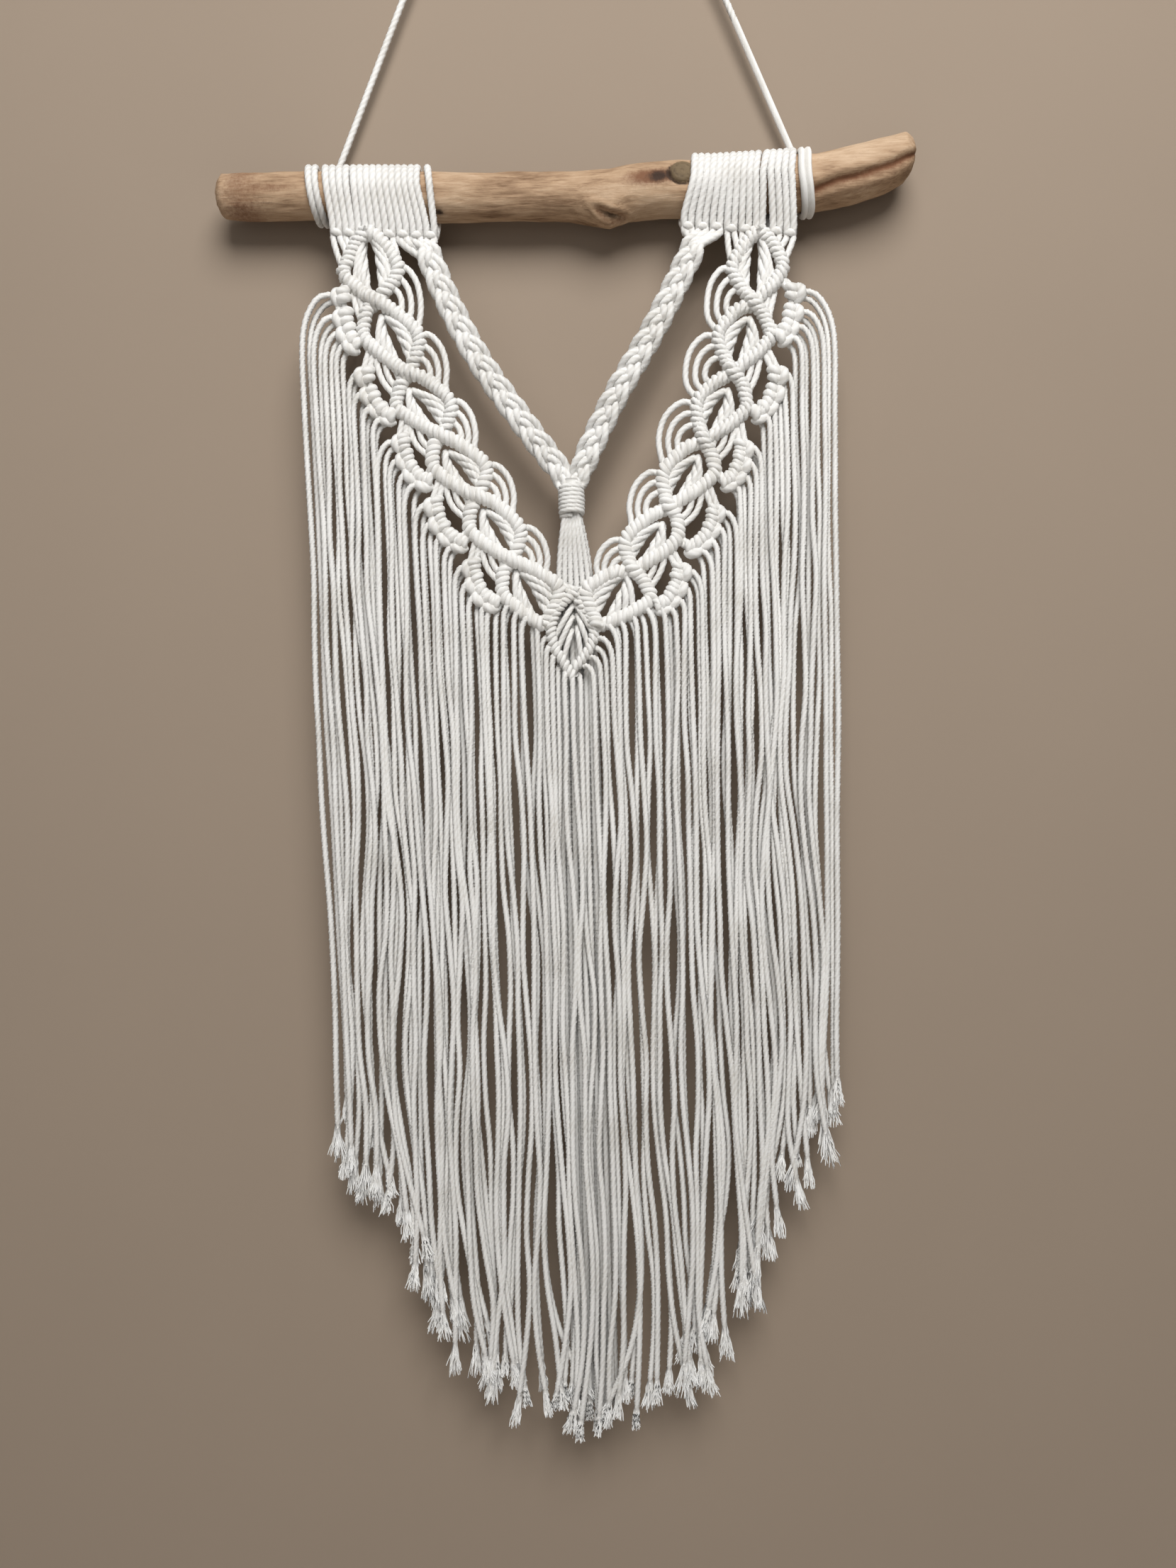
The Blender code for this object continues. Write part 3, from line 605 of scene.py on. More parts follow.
# A leaf's four corners, how far its inner cords swing out from its crossing, and the ends of its chain
Leaf = namedtuple("Leaf", "top outer inner crossing swing chain_top chain_end")
LEFT_COLUMN = [
    Leaf((-117.5, -376.0), (-131.3, -400.8), (-99.0, -397.8), (-113.0, -416.8), 26.5,
         (-133.5, -407.8), (-124.0, -443.8)),
    Leaf((-109.0, -424.8), (-120.4, -437.8), (-88.3, -436.8), (-95.0, -459.8), 23.0,
         (-120.0, -455.8), (-102.7, -486.8)),
    Leaf((-94.0, -468.8), (-101.7, -479.8), (-70.4, -476.8), (-75.8, -496.8), 20.0,
         (-100.0, -495.8), (-81.8, -524.8)),
    Leaf((-73.1, -505.8), (-80.8, -515.8), (-50.3, -514.8), (-56.1, -532.8), 22.0,
         (-81.2, -533.8), (-61.7, -561.8)),
    Leaf((-51.7, -540.8), (-60.3, -552.8), (-31.1, -551.8), (-36.1, -570.8), 21.0,
         (-59.9, -570.8), (-44.6, -596.8)),
    Leaf((-32.9, -576.8), (-41.5, -590.8), (-8.8, -587.3), (-18.2, -609.8), 0.0, None, None),
]
RIGHT_COLUMN = [
    Leaf((112.4, -380.5), (126.7, -401.8), (96.7, -401.8), (108.8, -422.6), 27.0,
         (133.1, -411.8), (124.1, -444.8)),
    Leaf((106.0, -430.8), (118.7, -441.8), (87.9, -440.8), (95.4, -463.2), 27.0,
         (122.1, -460.8), (107.3, -489.8)),
    Leaf((92.3, -472.8), (103.7, -483.8), (75.0, -479.8), (77.8, -503.0), 26.0,
         (101.2, -504.8), (89.0, -528.8)),
    Leaf((73.9, -511.8), (84.1, -521.8), (54.2, -520.8), (56.6, -541.2), 23.0,
         (84.6, -541.8), (65.7, -566.8)),
    Leaf((51.9, -550.8), (61.2, -559.8), (30.8, -559.8), (34.6, -577.9), 21.0,
         (63.0, -575.8), (48.3, -600.8)),
    Leaf((30.8, -579.8), (45.0, -594.8), (7.3, -589.3), (13.8, -610.6), 0.0, None, None),
]


def between(a, b, share):
    """The point this share of the way from a to b, on the cloth."""
    return (a[0] + (b[0] - a[0]) * share, a[1] + (b[1] - a[1]) * share)


def at(point, depth=CLOTH_DEPTH):
    """The place in space of a point on the cloth."""
    return Vector((point[0], depth, point[1]))


def hitched_bar(route, shake, hand, reach=BAR_REACH, radius=HITCH_RADIUS):
    """The holding cord, and the turns of the working cords round it, which slant and are uneven."""
    middle = smooth_route(route, HITCH_PITCH / TURN_POINTS)
    turns = []
    for i, point in enumerate(middle):
        angle = 2 * math.pi * i / TURN_POINTS
        ahead = (middle[min(i + 1, len(middle) - 1)] - middle[max(i - 1, 0)]).normalized()
        front = (FRONT - ahead * FRONT.dot(ahead)).normalized()
        across = ahead.cross(front) * hand
        swell = reach * (1.0 + 0.16 * noise.noise(Vector((angle * 0.33, reach, shake))))
        lean = 0.85 * math.sin(angle) + 0.7 * noise.noise(Vector((angle * 0.5, 3.0, shake)))
        turns.append(point + swell * (math.cos(angle) * front + math.sin(angle) * across) + ahead * lean)
    fluff = [radius * (1.0 + 0.18 * noise.noise(Vector((i * 0.23, shake, 1.0)))) for i in range(len(turns))]
    return [Cord(middle[::8], reach * 0.95), Cord(turns, fluff)]


# For the cords in each half of a leaf: how far down its slit each comes out from behind the one above,
# and where it is hitched, as a share from the corner to the crossing
OUTER_VEINS = [(0.04, 0.34), (0.25, 0.50), (0.46, 0.67), (0.67, 0.85)]
INNER_VEINS = [(0.04, 0.15), (0.22, 0.33), (0.42, 0.53), (0.63, 0.74)]
VEIN_RADIUS = 2.05
OUTER_EDGE, INNER_EDGE = 3.3, 4.6       # mm from a leaf's middle line to the cords beside its slit


def leaf_veins(leaf, corner, veins, edge):
    """The working cords in half a leaf: each out past the slit, and down to the bar under it."""
    side = 1 if corner[0] > leaf.crossing[0] else -1
    cords = []
    for share, foot in veins:
        out = side * edge * (0.2 + 0.8 * min(share / 0.25, 1.0))
        start = between(leaf.top, leaf.crossing, share)
        start = (start[0] + out, start[1])
        low = between(corner, leaf.crossing, foot)
        behind = (leaf.top[0] + 0.5 * share * (leaf.crossing[0] - leaf.top[0]) + 1.15 * out,
                  leaf.top[1] + 0.5 * share * (leaf.crossing[1] - leaf.top[1]))
        middle = between(start, low, 0.45)
        cords.append(Cord(smooth_route([at((leaf.top[0] + side, leaf.top[1]), -15.0), at(behind, -15.2),
                                        at(start, -17.2), at((middle[0] + 0.7 * side, middle[1]), -19.3),
                                        at(low, -17.3)]), VEIN_RADIUS))
    return cords


LOOP = [(0.37, 0.07), (0.80, -0.13), (1.0, -0.48), (0.96, -0.78)]      # as shares of its reach and height


def looped_out(start, end, peak):
    """A working cord that swings far out beside a crossing, as far as the peak, and back to a bar."""
    route = [at(start, CLOTH_DEPTH + 0.5)]
    for out, up in LOOP:
        place = (start[0] + (peak - start[0]) * out, start[1] + (start[1] - end[1]) * up)
        route.append(at(place, CLOTH_DEPTH - 0.2))
    route.append(at(end, CLOTH_DEPTH + 0.5))
    return Cord(smooth_route(route), WORKING_RADIUS)


def curved_round(start, end, crossing):
    """A working cord that runs from one bar to the next, curving round the crossing between them."""
    out, drop = start[0] - crossing[0], start[1] - end[1]
    return Cord(smooth_route([at(start, CLOTH_DEPTH + 0.5),
                              at((crossing[0] + 0.98 * out, start[1] - 0.30 * drop), CLOTH_DEPTH + 0.4),
                              at((crossing[0] + 0.80 * out, start[1] - 0.64 * drop), CLOTH_DEPTH + 0.4),
                              at(end, CLOTH_DEPTH + 0.5)]), WORKING_RADIUS)


KNOTS = 4                # in a chain


def chain_places(leaf, side):
    """The middle of each knot, the way its chain runs there, and the way out from the column."""
    top, end = leaf.chain_top, leaf.chain_end
    bend = (between(top, end, 0.1)[0], between(top, end, 0.9)[1])
    places = []
    for k in range(KNOTS):
        share = (k + 0.42) / KNOTS
        first, second = between(top, bend, share), between(bend, end, share)
        ahead = (at(second) - at(first)).normalized()
        places.append((at(between(first, second, share)), ahead, ahead.cross(FRONT) * -side))
    return places


def bead(route, radius):
    """A short length of cord that is pressed into a bead, thickest in its middle."""
    points = smooth_route(route, 1.0)
    last = len(points) - 1
    return Cord(points, [radius * (0.74 + 0.38 * math.sin(math.pi * i / last)) for i in range(last + 1)])


# A cord that is turned over a knot, in mm out and forward, and the one down its outer side, in mm
# along the chain, out and forward
TURN_OVER = ((2.0, 0.0), (0.8, 2.3), (-1.7, 3.1), (-3.9, 1.5), (-4.1, -1.0))
OUTER_BAND = ((-4.4, 0.9, -0.8), (-3.3, 2.9, 1.4), (0.0, 3.8, 2.5), (3.3, 2.9, 1.4), (4.4, 0.9, -0.8))


def chain_knot(place, ahead, out, ribs, shake):
    """A knot of a chain: a cord's turns across its inner side, and another cord along its outer side."""
    cords = [Cord(smooth_route([place - ahead * 3.4, place + ahead * 3.4], 1.0), 3.4)]
    pitch, radius = (4.2, 2.5) if ribs == 2 else (3.0, 1.9)
    for j in range(ribs):
        grow = 1.0 + 0.10 * math.sin(shake + 2.1 * j)
        middle = place + ahead * pitch * (j - (ribs - 1) / 2)
        turn = [middle + (out * a + FRONT * b) * grow + ahead * 0.3 * a for a, b in TURN_OVER]
        cords.append(bead(turn, radius * grow))
    grow = 1.0 + 0.10 * math.sin(shake + 5.0)
    band = [place + ahead * a + (out * b + FRONT * c) * grow for a, b, c in OUTER_BAND]
    cords.append(bead(band, 2.6 * grow))
    return cords


def bowed(start, end, out, bows):
    """Points a third and two thirds of the way, pushed out squarely from the line by these distances."""
    square = Vector((start[1] - end[1], end[0] - start[0])).normalized()
    if square.x * out < 0:
        square = -square
    return [(a + square.x * bow, b + square.y * bow)
            for (a, b), bow in zip((between(start, end, 0.34), between(start, end, 0.68)), bows)]


def bar_route(leaves, side, starts_left):
    """A holding cord's way down the column: from the left it crosses in front, from the right behind."""
    route = [at(leaves[0].top, CLOTH_DEPTH - 1.6)]
    crossing = leaves[0].top
    for i, leaf in enumerate(leaves):
        on_left = (i % 2 == 0) == starts_left
        corner = leaf.outer if on_left == (side < 0) else leaf.inner
        out = -1 if on_left else 1
        for place in bowed(crossing, corner, out, (1.6, 1.5) if on_left == (i % 2 == 0) else (2.9, 2.2)):
            route.append(at(place, CLOTH_DEPTH - 0.6))
        route.append(at(corner, CLOTH_DEPTH - 0.8))
        for place in bowed(corner, leaf.crossing, out, (1.4, 0.9) if on_left else (2.2, 1.4)):
            route.append(at(place, CLOTH_DEPTH - 0.6))
        crossing = leaf.crossing
        route.append(at(crossing, CLOTH_DEPTH + (-2.6 if on_left else 1.9)))
    return route


# Where the two cords of each head meet the first leaf's bars, as shares from its top to a corner: the
# outer one where the share is below 0
LEG_FEET = [(-0.97, -0.80), (-0.62, -0.42), (-0.22, 0.22), (0.42, 0.62), (0.80, 0.97)]


def column_legs(leaves, side, mount):
    """From five of the lark's heads, two cords each down to the first leaf's bars."""
    first = leaves[0]
    heads = range(5) if side < 0 else range(7, 2, -1)
    legs = []
    for order, pair in zip(heads, LEG_FEET):
        for place, share in zip((side, -side), pair):
            foot = between(first.top, first.inner if share > 0 else first.outer, abs(share))
            x, z = mount.heads[order] + place * LEG_GAP, mount.heights[order]
            bow = 0.9 * place * (abs(share) > 0.7)      # only the outermost bow out
            legs.append(Cord(smooth_route([(x, HEAD_DEPTH, z), (x + 0.2 * bow, HEAD_DEPTH - 0.6, z - 3.0),
                                           at((foot[0] + bow + (x - foot[0]) * 0.5, (z + foot[1]) / 2 - 1.0)),
                                           at(foot, CLOTH_DEPTH + 0.8)]), WORKING_RADIUS))
    return legs


# Where a cord leaves the bar above a crossing and joins the one below, as shares of the way to it: those
# on the inner side also have the share of the leaf's swing that they reach
LOOPED = ((0.12, 0.05, 1.0), (0.38, 0.28, 0.79), (0.64, 0.54, 0.58))
ROUNDED = ((0.28, 0.22), (0.48, 0.44), (0.72, 0.68))
CHAIN_PAIR = 1.7         # mm from a chain's middle to each of the cords that run through it


def build_column(name, leaves, side, mount, node):
    """One column: both bars, the cords in and beside its leaves, and the chains on its outer side."""
    bars = []
    for shake, starts_left in ((1.0, True), (2.0, False)):
        bars += hitched_bar(bar_route(leaves, side, starts_left), shake + 3.0 * side, -side)
    dress(lay_cords(f"{name}_hitches", bars), COTTON, "cotton_cord", node)
    loose = column_legs(leaves, side, mount)
    for order, (leaf, below) in enumerate(zip(leaves, [*leaves[1:], None])):
        loose += leaf_veins(leaf, leaf.outer, OUTER_VEINS, OUTER_EDGE)
        loose += leaf_veins(leaf, leaf.inner, INNER_VEINS, INNER_EDGE)
        if below is None:
            continue
        for start, end, out in LOOPED:
            loose.append(looped_out(between(leaf.inner, leaf.crossing, start),
                                    between(below.inner, leaf.crossing, end),
                                    leaf.crossing[0] - side * leaf.swing * out))
        for start, end in ROUNDED:
            loose.append(curved_round(between(leaf.outer, leaf.crossing, start),
                                      between(below.outer, leaf.crossing, end), leaf.crossing))
        places = chain_places(leaf, side)
        ribs = 2 if order < 2 else 3        # the knots of the first two chains are coarser
        for k, (place, ahead, out) in enumerate(places):
            loose += chain_knot(place, ahead, out, ribs, leaf.swing + side + k)
        line = [at(between(leaf.outer, leaf.crossing, 0.22)), *[place for place, _, _ in places],
                at(between(below.outer, leaf.crossing, 0.05))]
        for apart in (-CHAIN_PAIR, CHAIN_PAIR):
            beside = [point + Vector((apart, 0.0, 0.0)) for point in line]
            loose.append(Cord(smooth_route(beside), WORKING_RADIUS))
    dress(lay_cords(f"{name}_cords", loose), COTTON, "cotton_cord")


build_column("column_left", LEFT_COLUMN, -1, LEFT_MOUNT, "knotted_column_left")
build_column("column_right", RIGHT_COLUMN, 1, RIGHT_MOUNT, "knotted_column_right")

# ---------------------------------------------------------------------------------------------------
# Centre leaf. The inner cords of both columns meet in one small leaf, hitched like the others, with a
# fan of loose cords inside and the tassel's cords showing through its slit.
# ---------------------------------------------------------------------------------------------------

LEAF_LEFT = [(2.8, -589.8), (-6.0, -595.8), (-12.0, -604.8), (-13.8, -613.3), (-12.0, -622.9), (-7.4, -630.8),
             (-1.2, -640.4)]
LEAF_RIGHT = [(1.6, -593.7), (6.2, -601.2), (9.9, -607.6), (11.2, -615.9), (8.1, -624.2), (3.1, -630.7),
              (-1.0, -635.0)]
# Each cord inside the leaf: its top, its foot, and how far forward it lies
LEAF_VEINS = [((-0.7, -597.7), (-12.2, -617.2), -18.4), ((-0.9, -604.2), (-10.6, -624.2), -18.0),
              ((-1.6, -612.2), (-7.0, -629.5), -17.6), ((1.2, -597.7), (9.4, -612.2), -18.4),
              ((1.6, -603.2), (8.0, -622.0), -18.0), ((1.4, -610.2), (3.4, -629.0), -17.4)]

# The cords of both columns that cross over its top
LEAF_CROWN = [((-11.5, -582.0), (-5.3, -586.6), (4.0, -589.6)),
              ((-9.5, -585.5), (-3.0, -589.6), (3.0, -592.0)),
              ((11.5, -583.5), (6.5, -587.6), (-2.5, -591.6)),
              ((9.0, -587.5), (4.6, -591.0), (-1.0, -594.5))]
LEAF_BAR_REACH, LEAF_HITCH_RADIUS = 1.75, 1.6
LEAF_CROWN_RADIUS, LEAF_VEIN_RADIUS = 1.9, 1.75

leaf_cords = []
for shake, hand, side, depth in ((7.0, 1, LEAF_LEFT, -19.4), (8.0, -1, LEAF_RIGHT, -18.2)):
    leaf_cords += hitched_bar([at(point, depth) for point in side], shake, hand, LEAF_BAR_REACH,
                              LEAF_HITCH_RADIUS)
for points in LEAF_CROWN:
    route = smooth_route([at(point, CLOTH_DEPTH - 0.3) for point in points])
    leaf_cords.append(Cord(route, LEAF_CROWN_RADIUS))
for high, low, depth in LEAF_VEINS:
    route = smooth_route([at(high, -15.5), at(between(high, low, 0.4), depth - 0.8), at(low, -17.0)])
    leaf_cords.append(Cord(route, LEAF_VEIN_RADIUS))
dress(lay_cords("centre_leaf_cords", leaf_cords), COTTON, "cotton_cord", "centre_leaf")

# ---------------------------------------------------------------------------------------------------
# Braids. Six cords of each side, from the three lark's heads nearest the middle, plaited in three parts
# of two cords. They run down to the gathering wrap.
# ---------------------------------------------------------------------------------------------------

BRAID_PERIOD = 40.0      # mm in which each part comes back to the same edge
BRAID_SWING = 3.7        # mm that a part goes to each side
BRAID_RISE = 2.4         # mm that it goes forward over the next part and back under it
BRAID_PAIR = 1.95        # mm from a part's middle to the middle of each of its two cords
BRAID_RADIUS = 2.4
BRAID_START = 9          # mm down its path at which the plait starts
BRAID_NARROWING = 14.0   # mm above the gathering wrap over which it narrows


def build_braid(name, node, route, mount, heads, side):
    """Each part swings from edge to edge and goes over and under the others a third of a period apart."""
    path = smooth_route(route, 1.0)
    cords = []
    for part in range(3):
        for place in (-1, 1):
            x, z = mount.heads[heads[part]] + LEG_GAP * place, mount.heights[heads[part]]
            points = [Vector((x, HEAD_DEPTH, z)), Vector((x, HEAD_DEPTH - 0.6, z - 3.0))]
            for i in range(BRAID_START, len(path), 2):
                ending = min(1.0, (len(path) - 1 - i) / BRAID_NARROWING)
                phase = 2 * math.pi * (i / BRAID_PERIOD + (part - 1) / 3) * side
                ahead = (path[min(i + 1, len(path) - 1)] - path[i - 1]).normalized()
                across = FRONT.cross(ahead).normalized()
                slope = BRAID_SWING * math.cos(phase) * 2 * math.pi / BRAID_PERIOD * side
                width = 0.72 + 0.28 * ending       # narrower where it goes into the wrap
                centre = path[i] + across * BRAID_SWING * math.sin(phase) * width
                centre += FRONT * BRAID_RISE * math.sin(2 * phase) * width * side
                points.append(centre + (across - ahead * slope).normalized() * BRAID_PAIR * place * width)
            points.append(path[-1] + Vector((1.1 * (part - 1), 0.8 * place, -5.0)))
            cords.append(Cord(smooth_route(points), BRAID_RADIUS))
    dress(lay_cords(name, cords), COTTON, "cotton_cord", node)


build_braid("braid_cords_left", "braid_left",
            [(-85.0, -18, -380.5), (-70.2, -19, -418.5), (-52.4, -19, -453.6), (-20.2, -18, -500.6),
             (-6.8, -17, -519.0), (-4.4, -16.5, -525.0)],
            LEFT_MOUNT, (5, 6, 7), 1)
build_braid("braid_cords_right", "braid_right",
            [(79.0, -18, -380.5), (51.0, -19, -435.3), (26.0, -18, -477.0), (7.5, -17, -514.5),
             (3.8, -16.5, -525.0)],
            RIGHT_MOUNT, (0, 1, 2), -1)

# ---------------------------------------------------------------------------------------------------
# Gathering wrap. One cord wound tightly round the ends of both braids, its own ends drawn inside. It
# holds the two braids together above the centre leaf.
# ---------------------------------------------------------------------------------------------------

WRAP_TOP, WRAP_END = -526.8, -545.6
WRAP_TURNS = 8
WRAP_CENTRE = (-0.3, -16.5)
WRAP_REACH = 6.1         # mm from the middle of the bundle to the middle of the cord round it
WRAP_STEPS = 24          # points in a turn
WRAP_TUCK = 3.2          # mm that each end of the cord is drawn in
WRAP_RADIUS = 1.6
HEART_RADIUS = 5.2       # of the bundle inside, with the ends of both braids

turns = []
for i in range(WRAP_TURNS * WRAP_STEPS + 1):
    angle = 2 * math.pi * i / WRAP_STEPS
    share = i / (WRAP_TURNS * WRAP_STEPS)
    reach = WRAP_REACH + 0.35 * math.sin(math.pi * share)
    reach += 0.25 * noise.noise(Vector((angle * 0.4, 2.0, 0.0)))
    reach -= WRAP_TUCK * (1.0 - min(min(share, 1.0 - share) / 0.035, 1.0))
    lean = 0.7 * math.sin(angle + 0.9) + 0.5 * noise.noise(Vector((angle * 0.3, 7.0, 0.0)))
    turns.append(Vector((WRAP_CENTRE[0] + reach * math.sin(angle), WRAP_CENTRE[1] - reach * math.cos(angle),
                         WRAP_TOP + (WRAP_END - WRAP_TOP) * share + lean)))
heart = smooth_route([(-0.3, -16.5, -524.0), (-0.3, -16.5, -543.5)])
wrap = lay_cords("gathering_turns", [Cord(evenly(turns, RING_STEP), WRAP_RADIUS), Cord(heart, HEART_RADIUS)])
dress(wrap, COTTON, "cotton_cord", "gathering_wrap")

# ---------------------------------------------------------------------------------------------------
# Tassel. The twelve braid cords come out under the wrap, pass behind the centre leaf and hang down with
# the fringe. Their ends are cut and have frayed.
# ---------------------------------------------------------------------------------------------------

Tip = namedtuple("Tip", "x z")      # on the line that the lowest threads reach
TIPS = [
    Tip(-148.0, -911.0), Tip(-138.0, -922.0), Tip(-130.0, -947.0), Tip(-116.0, -952.0), Tip(-106.0, -982.0),
    Tip(-92.0, -1012.0), Tip(-80.0, -1033.0), Tip(-68.0, -1050.0), Tip(-57.0, -1061.0), Tip(-35.0, -1068.0),
    Tip(-10.0, -1080.0), Tip(10.0, -1085.0), Tip(33.0, -1079.0), Tip(50.0, -1064.0), Tip(64.0, -1058.0),
    Tip(76.0, -1038.0), Tip(88.0, -1012.0), Tip(104.0, -993.0), Tip(114.0, -972.0), Tip(119.0, -948.0),
    Tip(130.0, -925.0), Tip(147.0, -906.0),
]
TIP_UNEVENNESS = 7.0
HUNG_RADIUS = 1.86       # of a cord that its own weight has stretched
THREADS = 34             # that show at each cut end
THREAD_RADIUS = 0.44
THREAD_ROOT = 3.0        # mm above the cut end at which they come apart


def tip_height(x):
    """How low a cord is cut at x, on the line through the tips."""
    columns = list(zip(*TIPS))
    return float(np.interp(x, columns[0], columns[1]))


def frayed_length(x):
    """How much of a cord's end has come apart, in mm: more towards the outer edges."""
    return 12.0 + 7.5 * min(abs(x) / 75.0, 1.0)


def tapered(points):
    """The radii of a loose cord: drawn in a little over its last few millimetres."""
    radii = [HUNG_RADIUS] * len(points)
    for k in range(1, 4):
        radii[-k] = HUNG_RADIUS * (0.45 + 0.15 * k)
    return radii


THIRD = 2.094            # radians, a third of a turn
THREAD_OUTLINE = flat_outline("thread outline",
                              [(math.cos(THIRD * i), math.sin(THIRD * i)) for i in range(3)])


def frayed(cords, seed):
    """The threads that have come loose at the cut end of each cord, in a wavy brush."""
    shake = random.Random(seed)
    loose = []
    for points, _ in cords:
        end = points[-1]
        down = (end - points[-5]).normalized()
        whole = frayed_length(end.x) * shake.uniform(0.75, 1.15)
        reach = shake.uniform(0.15, 0.27) * whole
        for _ in range(THREADS):
            turn = shake.uniform(0.0, 2 * math.pi)
            away = Vector((math.cos(turn), 0.4 * math.sin(turn), 0.0))
            length = whole * shake.uniform(0.62, 1.0) + THREAD_ROOT
            spread = reach * shake.uniform(0.25, 1.0)
            route = [end - down * THREAD_ROOT + away * shake.uniform(0.3, 1.1)]
            for share in (0.3, 0.53, 0.76, 1.0):
                wave = Vector((shake.uniform(-0.8, 0.8), shake.uniform(-0.3, 0.3), 0.0))
                route.append(route[0] + down * length * share + away * spread * share ** 1.4 + wave)
            loose.append(Cord(route, [THREAD_RADIUS * size for size in (1.2, 1.1, 1.0, 0.9, 0.6)]))
    return loose


def thread_finish():
    """Loose cotton threads: paler than a twisted cord, with faint lengths of a warmer tone."""
    finish, tree, shader = new_finish("loose cotton threads", Roughness=0.8, Specular_IOR_Level=0.15,
                                      Sheen_Weight=0.3)
    where = add_node(tree, "ShaderNodeTexCoord").outputs["Object"]
    tone = clouded(tree, where, 260.0, 3.0)
    colour = toned(tree, tone, (0.3, (0.86, 0.85, 0.82)), (0.6, (0.95, 0.95, 0.94)))
    tree.links.new(colour, shader.inputs["Base Color"])
    return finish


THREAD_FINISH = thread_finish()


def hang_cords(name, ends_name, cords, seed, node):
    """Cords that hang free, and the threads that have come loose at their ends."""
    dress(lay_cords(name, cords, outline=PLAIN_OUTLINE), COTTON, "cotton_cord", node)
    dress(lay_cords(ends_name, frayed(cords, seed), outline=THREAD_OUTLINE), THREAD_FINISH, "cotton_cord")


TASSEL_CORDS = 12
TASSEL_BACK, TASSEL_FRONT = -7.0, -10.8      # mm, of its two layers
TASSEL_END = -1068.0

tassel = []
for i in range(TASSEL_CORDS):
    across = (i - 5.5) / 6.0
    back = i % 2
    depth = TASSEL_BACK if back else TASSEL_FRONT
    low = TASSEL_END - TIP_UNEVENNESS * math.sin(2.3 * i)
    route = [(3.6 * across - 0.3, -16.5 + 2.4 * (back - 0.5), -541.0),
             (6.3 * across, -16.0 + 2.6 * (back - 0.5), -553.0),
             (8.6 * across + 0.3, -14.0 + 2.6 * (back - 0.5), -566.0),
             (10.5 * across + 0.8, depth - 2.2, -584.0),
             (11.2 * across + 1.0 + 0.6 * math.sin(1.7 * i), depth, -612.0),
             (12.0 * across + 1.3 + 0.8 * math.sin(2.9 * i), depth - 1.0, -740.0),
             (13.0 * across + 2.0, depth - 2.0, -900.0),
             (13.5 * across + 2.6, depth - 2.0, low)]
    points = smooth_route(route)
    tassel.append(Cord(points, tapered(points)))
hang_cords("tassel_cords", "tassel_ends", tassel, 11, "tassel")

# ---------------------------------------------------------------------------------------------------
# Fringe. The working cords leave the chains of square knots on the outer side, bend over a shoulder and
# hang in two layers to a point; each cord is cut at its own length and its end has frayed.
# ---------------------------------------------------------------------------------------------------

Fall = namedtuple("Fall", "x strands")      # where the cords of a chain start to hang, and how many
LEFT_FALLS = [Fall(-156.0, 8), Fall(-130.0, 8), Fall(-112.5, 8), Fall(-92.0, 8), Fall(-71.0, 8),
              Fall(-50.0, 9), Fall(-19.0, 0)]
RIGHT_FALLS = [Fall(156.0, 8), Fall(130.0, 8), Fall(112.5, 8), Fall(95.0, 8), Fall(75.0, 8),
               Fall(53.0, 9), Fall(19.5, 0)]
FRONT_LAYER, BACK_LAYER = -20.4, -16.4
ROOT_DEPTH = -17.4
HUNG_STEP = 1.65         # mm between the sections of a cord that hangs
# The bend over the shoulder: how far out as a share of the run to where it hangs, and how far down
SHOULDER = [(0.25, 0.02), (0.50, 0.14), (0.79, 0.55), (0.95, 1.08), (1.0, 1.75)]
LEAST_SHOULDER = 4.0     # mm
TOGETHER, ALONE = 8.5, 5.2      # mm that cords stray with their neighbours, and each by itself
CURL = 30.0              # mm that a cord's end may curl to the side
CURLED = 90.0            # mm of it that curl
DRAWN_IN = 0.937         # how far from the middle a cord ends, as a share of where it starts to hang
OUTERMOST = 148.0        # mm from the middle, past which the cords hang straighter
GROUP_STRAY = 0.55       # how unevenly the cords of a chain are spread, as a share of their pitch
LAST_ROOTS = 9           # cords that leave the last bar


def strayed(index, down, left):
    """How far to the side a cord has strayed, in mm, this far down and with this much left to hang."""
    together = noise.noise(Vector((index * 0.16, down * 0.007, 1.0)))
    alone = noise.noise(Vector((index * 3.7, down * 0.013, 5.0)))
    curl = noise.noise(Vector((index * 5.3, 2.0, 9.0)))
    hung = min(down / 300.0, 1.0) * TOGETHER * together + min(down / 110.0, 1.0) * ALONE * alone
    return hung + CURL * curl * max(1.0 - left / CURLED, 0.0) ** 2


def fringe_cord(index, root, fall_x, front):
    """One cord: out of its knot, over a shoulder, then hanging with slight waves to its cut end."""
    layer = (FRONT_LAYER if front else BACK_LAYER) + 0.8 * math.sin(3.7 * index)
    low_x = fall_x * DRAWN_IN + 2.0 + 1.6 * math.sin(5.1 * index)
    low_z = tip_height(low_x) + frayed_length(low_x) + TIP_UNEVENNESS * (math.sin(2.7 * index) + (not front))
    run = fall_x - root[0]
    drop = max(abs(run), LEAST_SHOULDER)
    route = [Vector((root[0], ROOT_DEPTH, root[1]))]
    for out, down in SHOULDER:
        depth = ROOT_DEPTH + min(out / 0.5, 1.0) * (layer - ROOT_DEPTH)
        route.append(Vector((root[0] + out * run, depth, root[1] - down * drop)))
    hung = route[-1]
    fall = hung.z - low_z
    stray = (0.4 if abs(fall_x) > OUTERMOST else 1.0) * (-1 if fall_x > 0 else 1)
    for share in np.linspace(0.0, 1.0, 15)[1:]:
        x = hung.x + (low_x - hung.x) * share + stray * strayed(index, fall * share, fall * (1.0 - share))
        route.append(Vector((x, layer + 0.9 * math.sin(4.0 * share + index), hung.z - fall * share)))
    points = smooth_route(route, HUNG_STEP)
    return Cord(points, tapered(points))


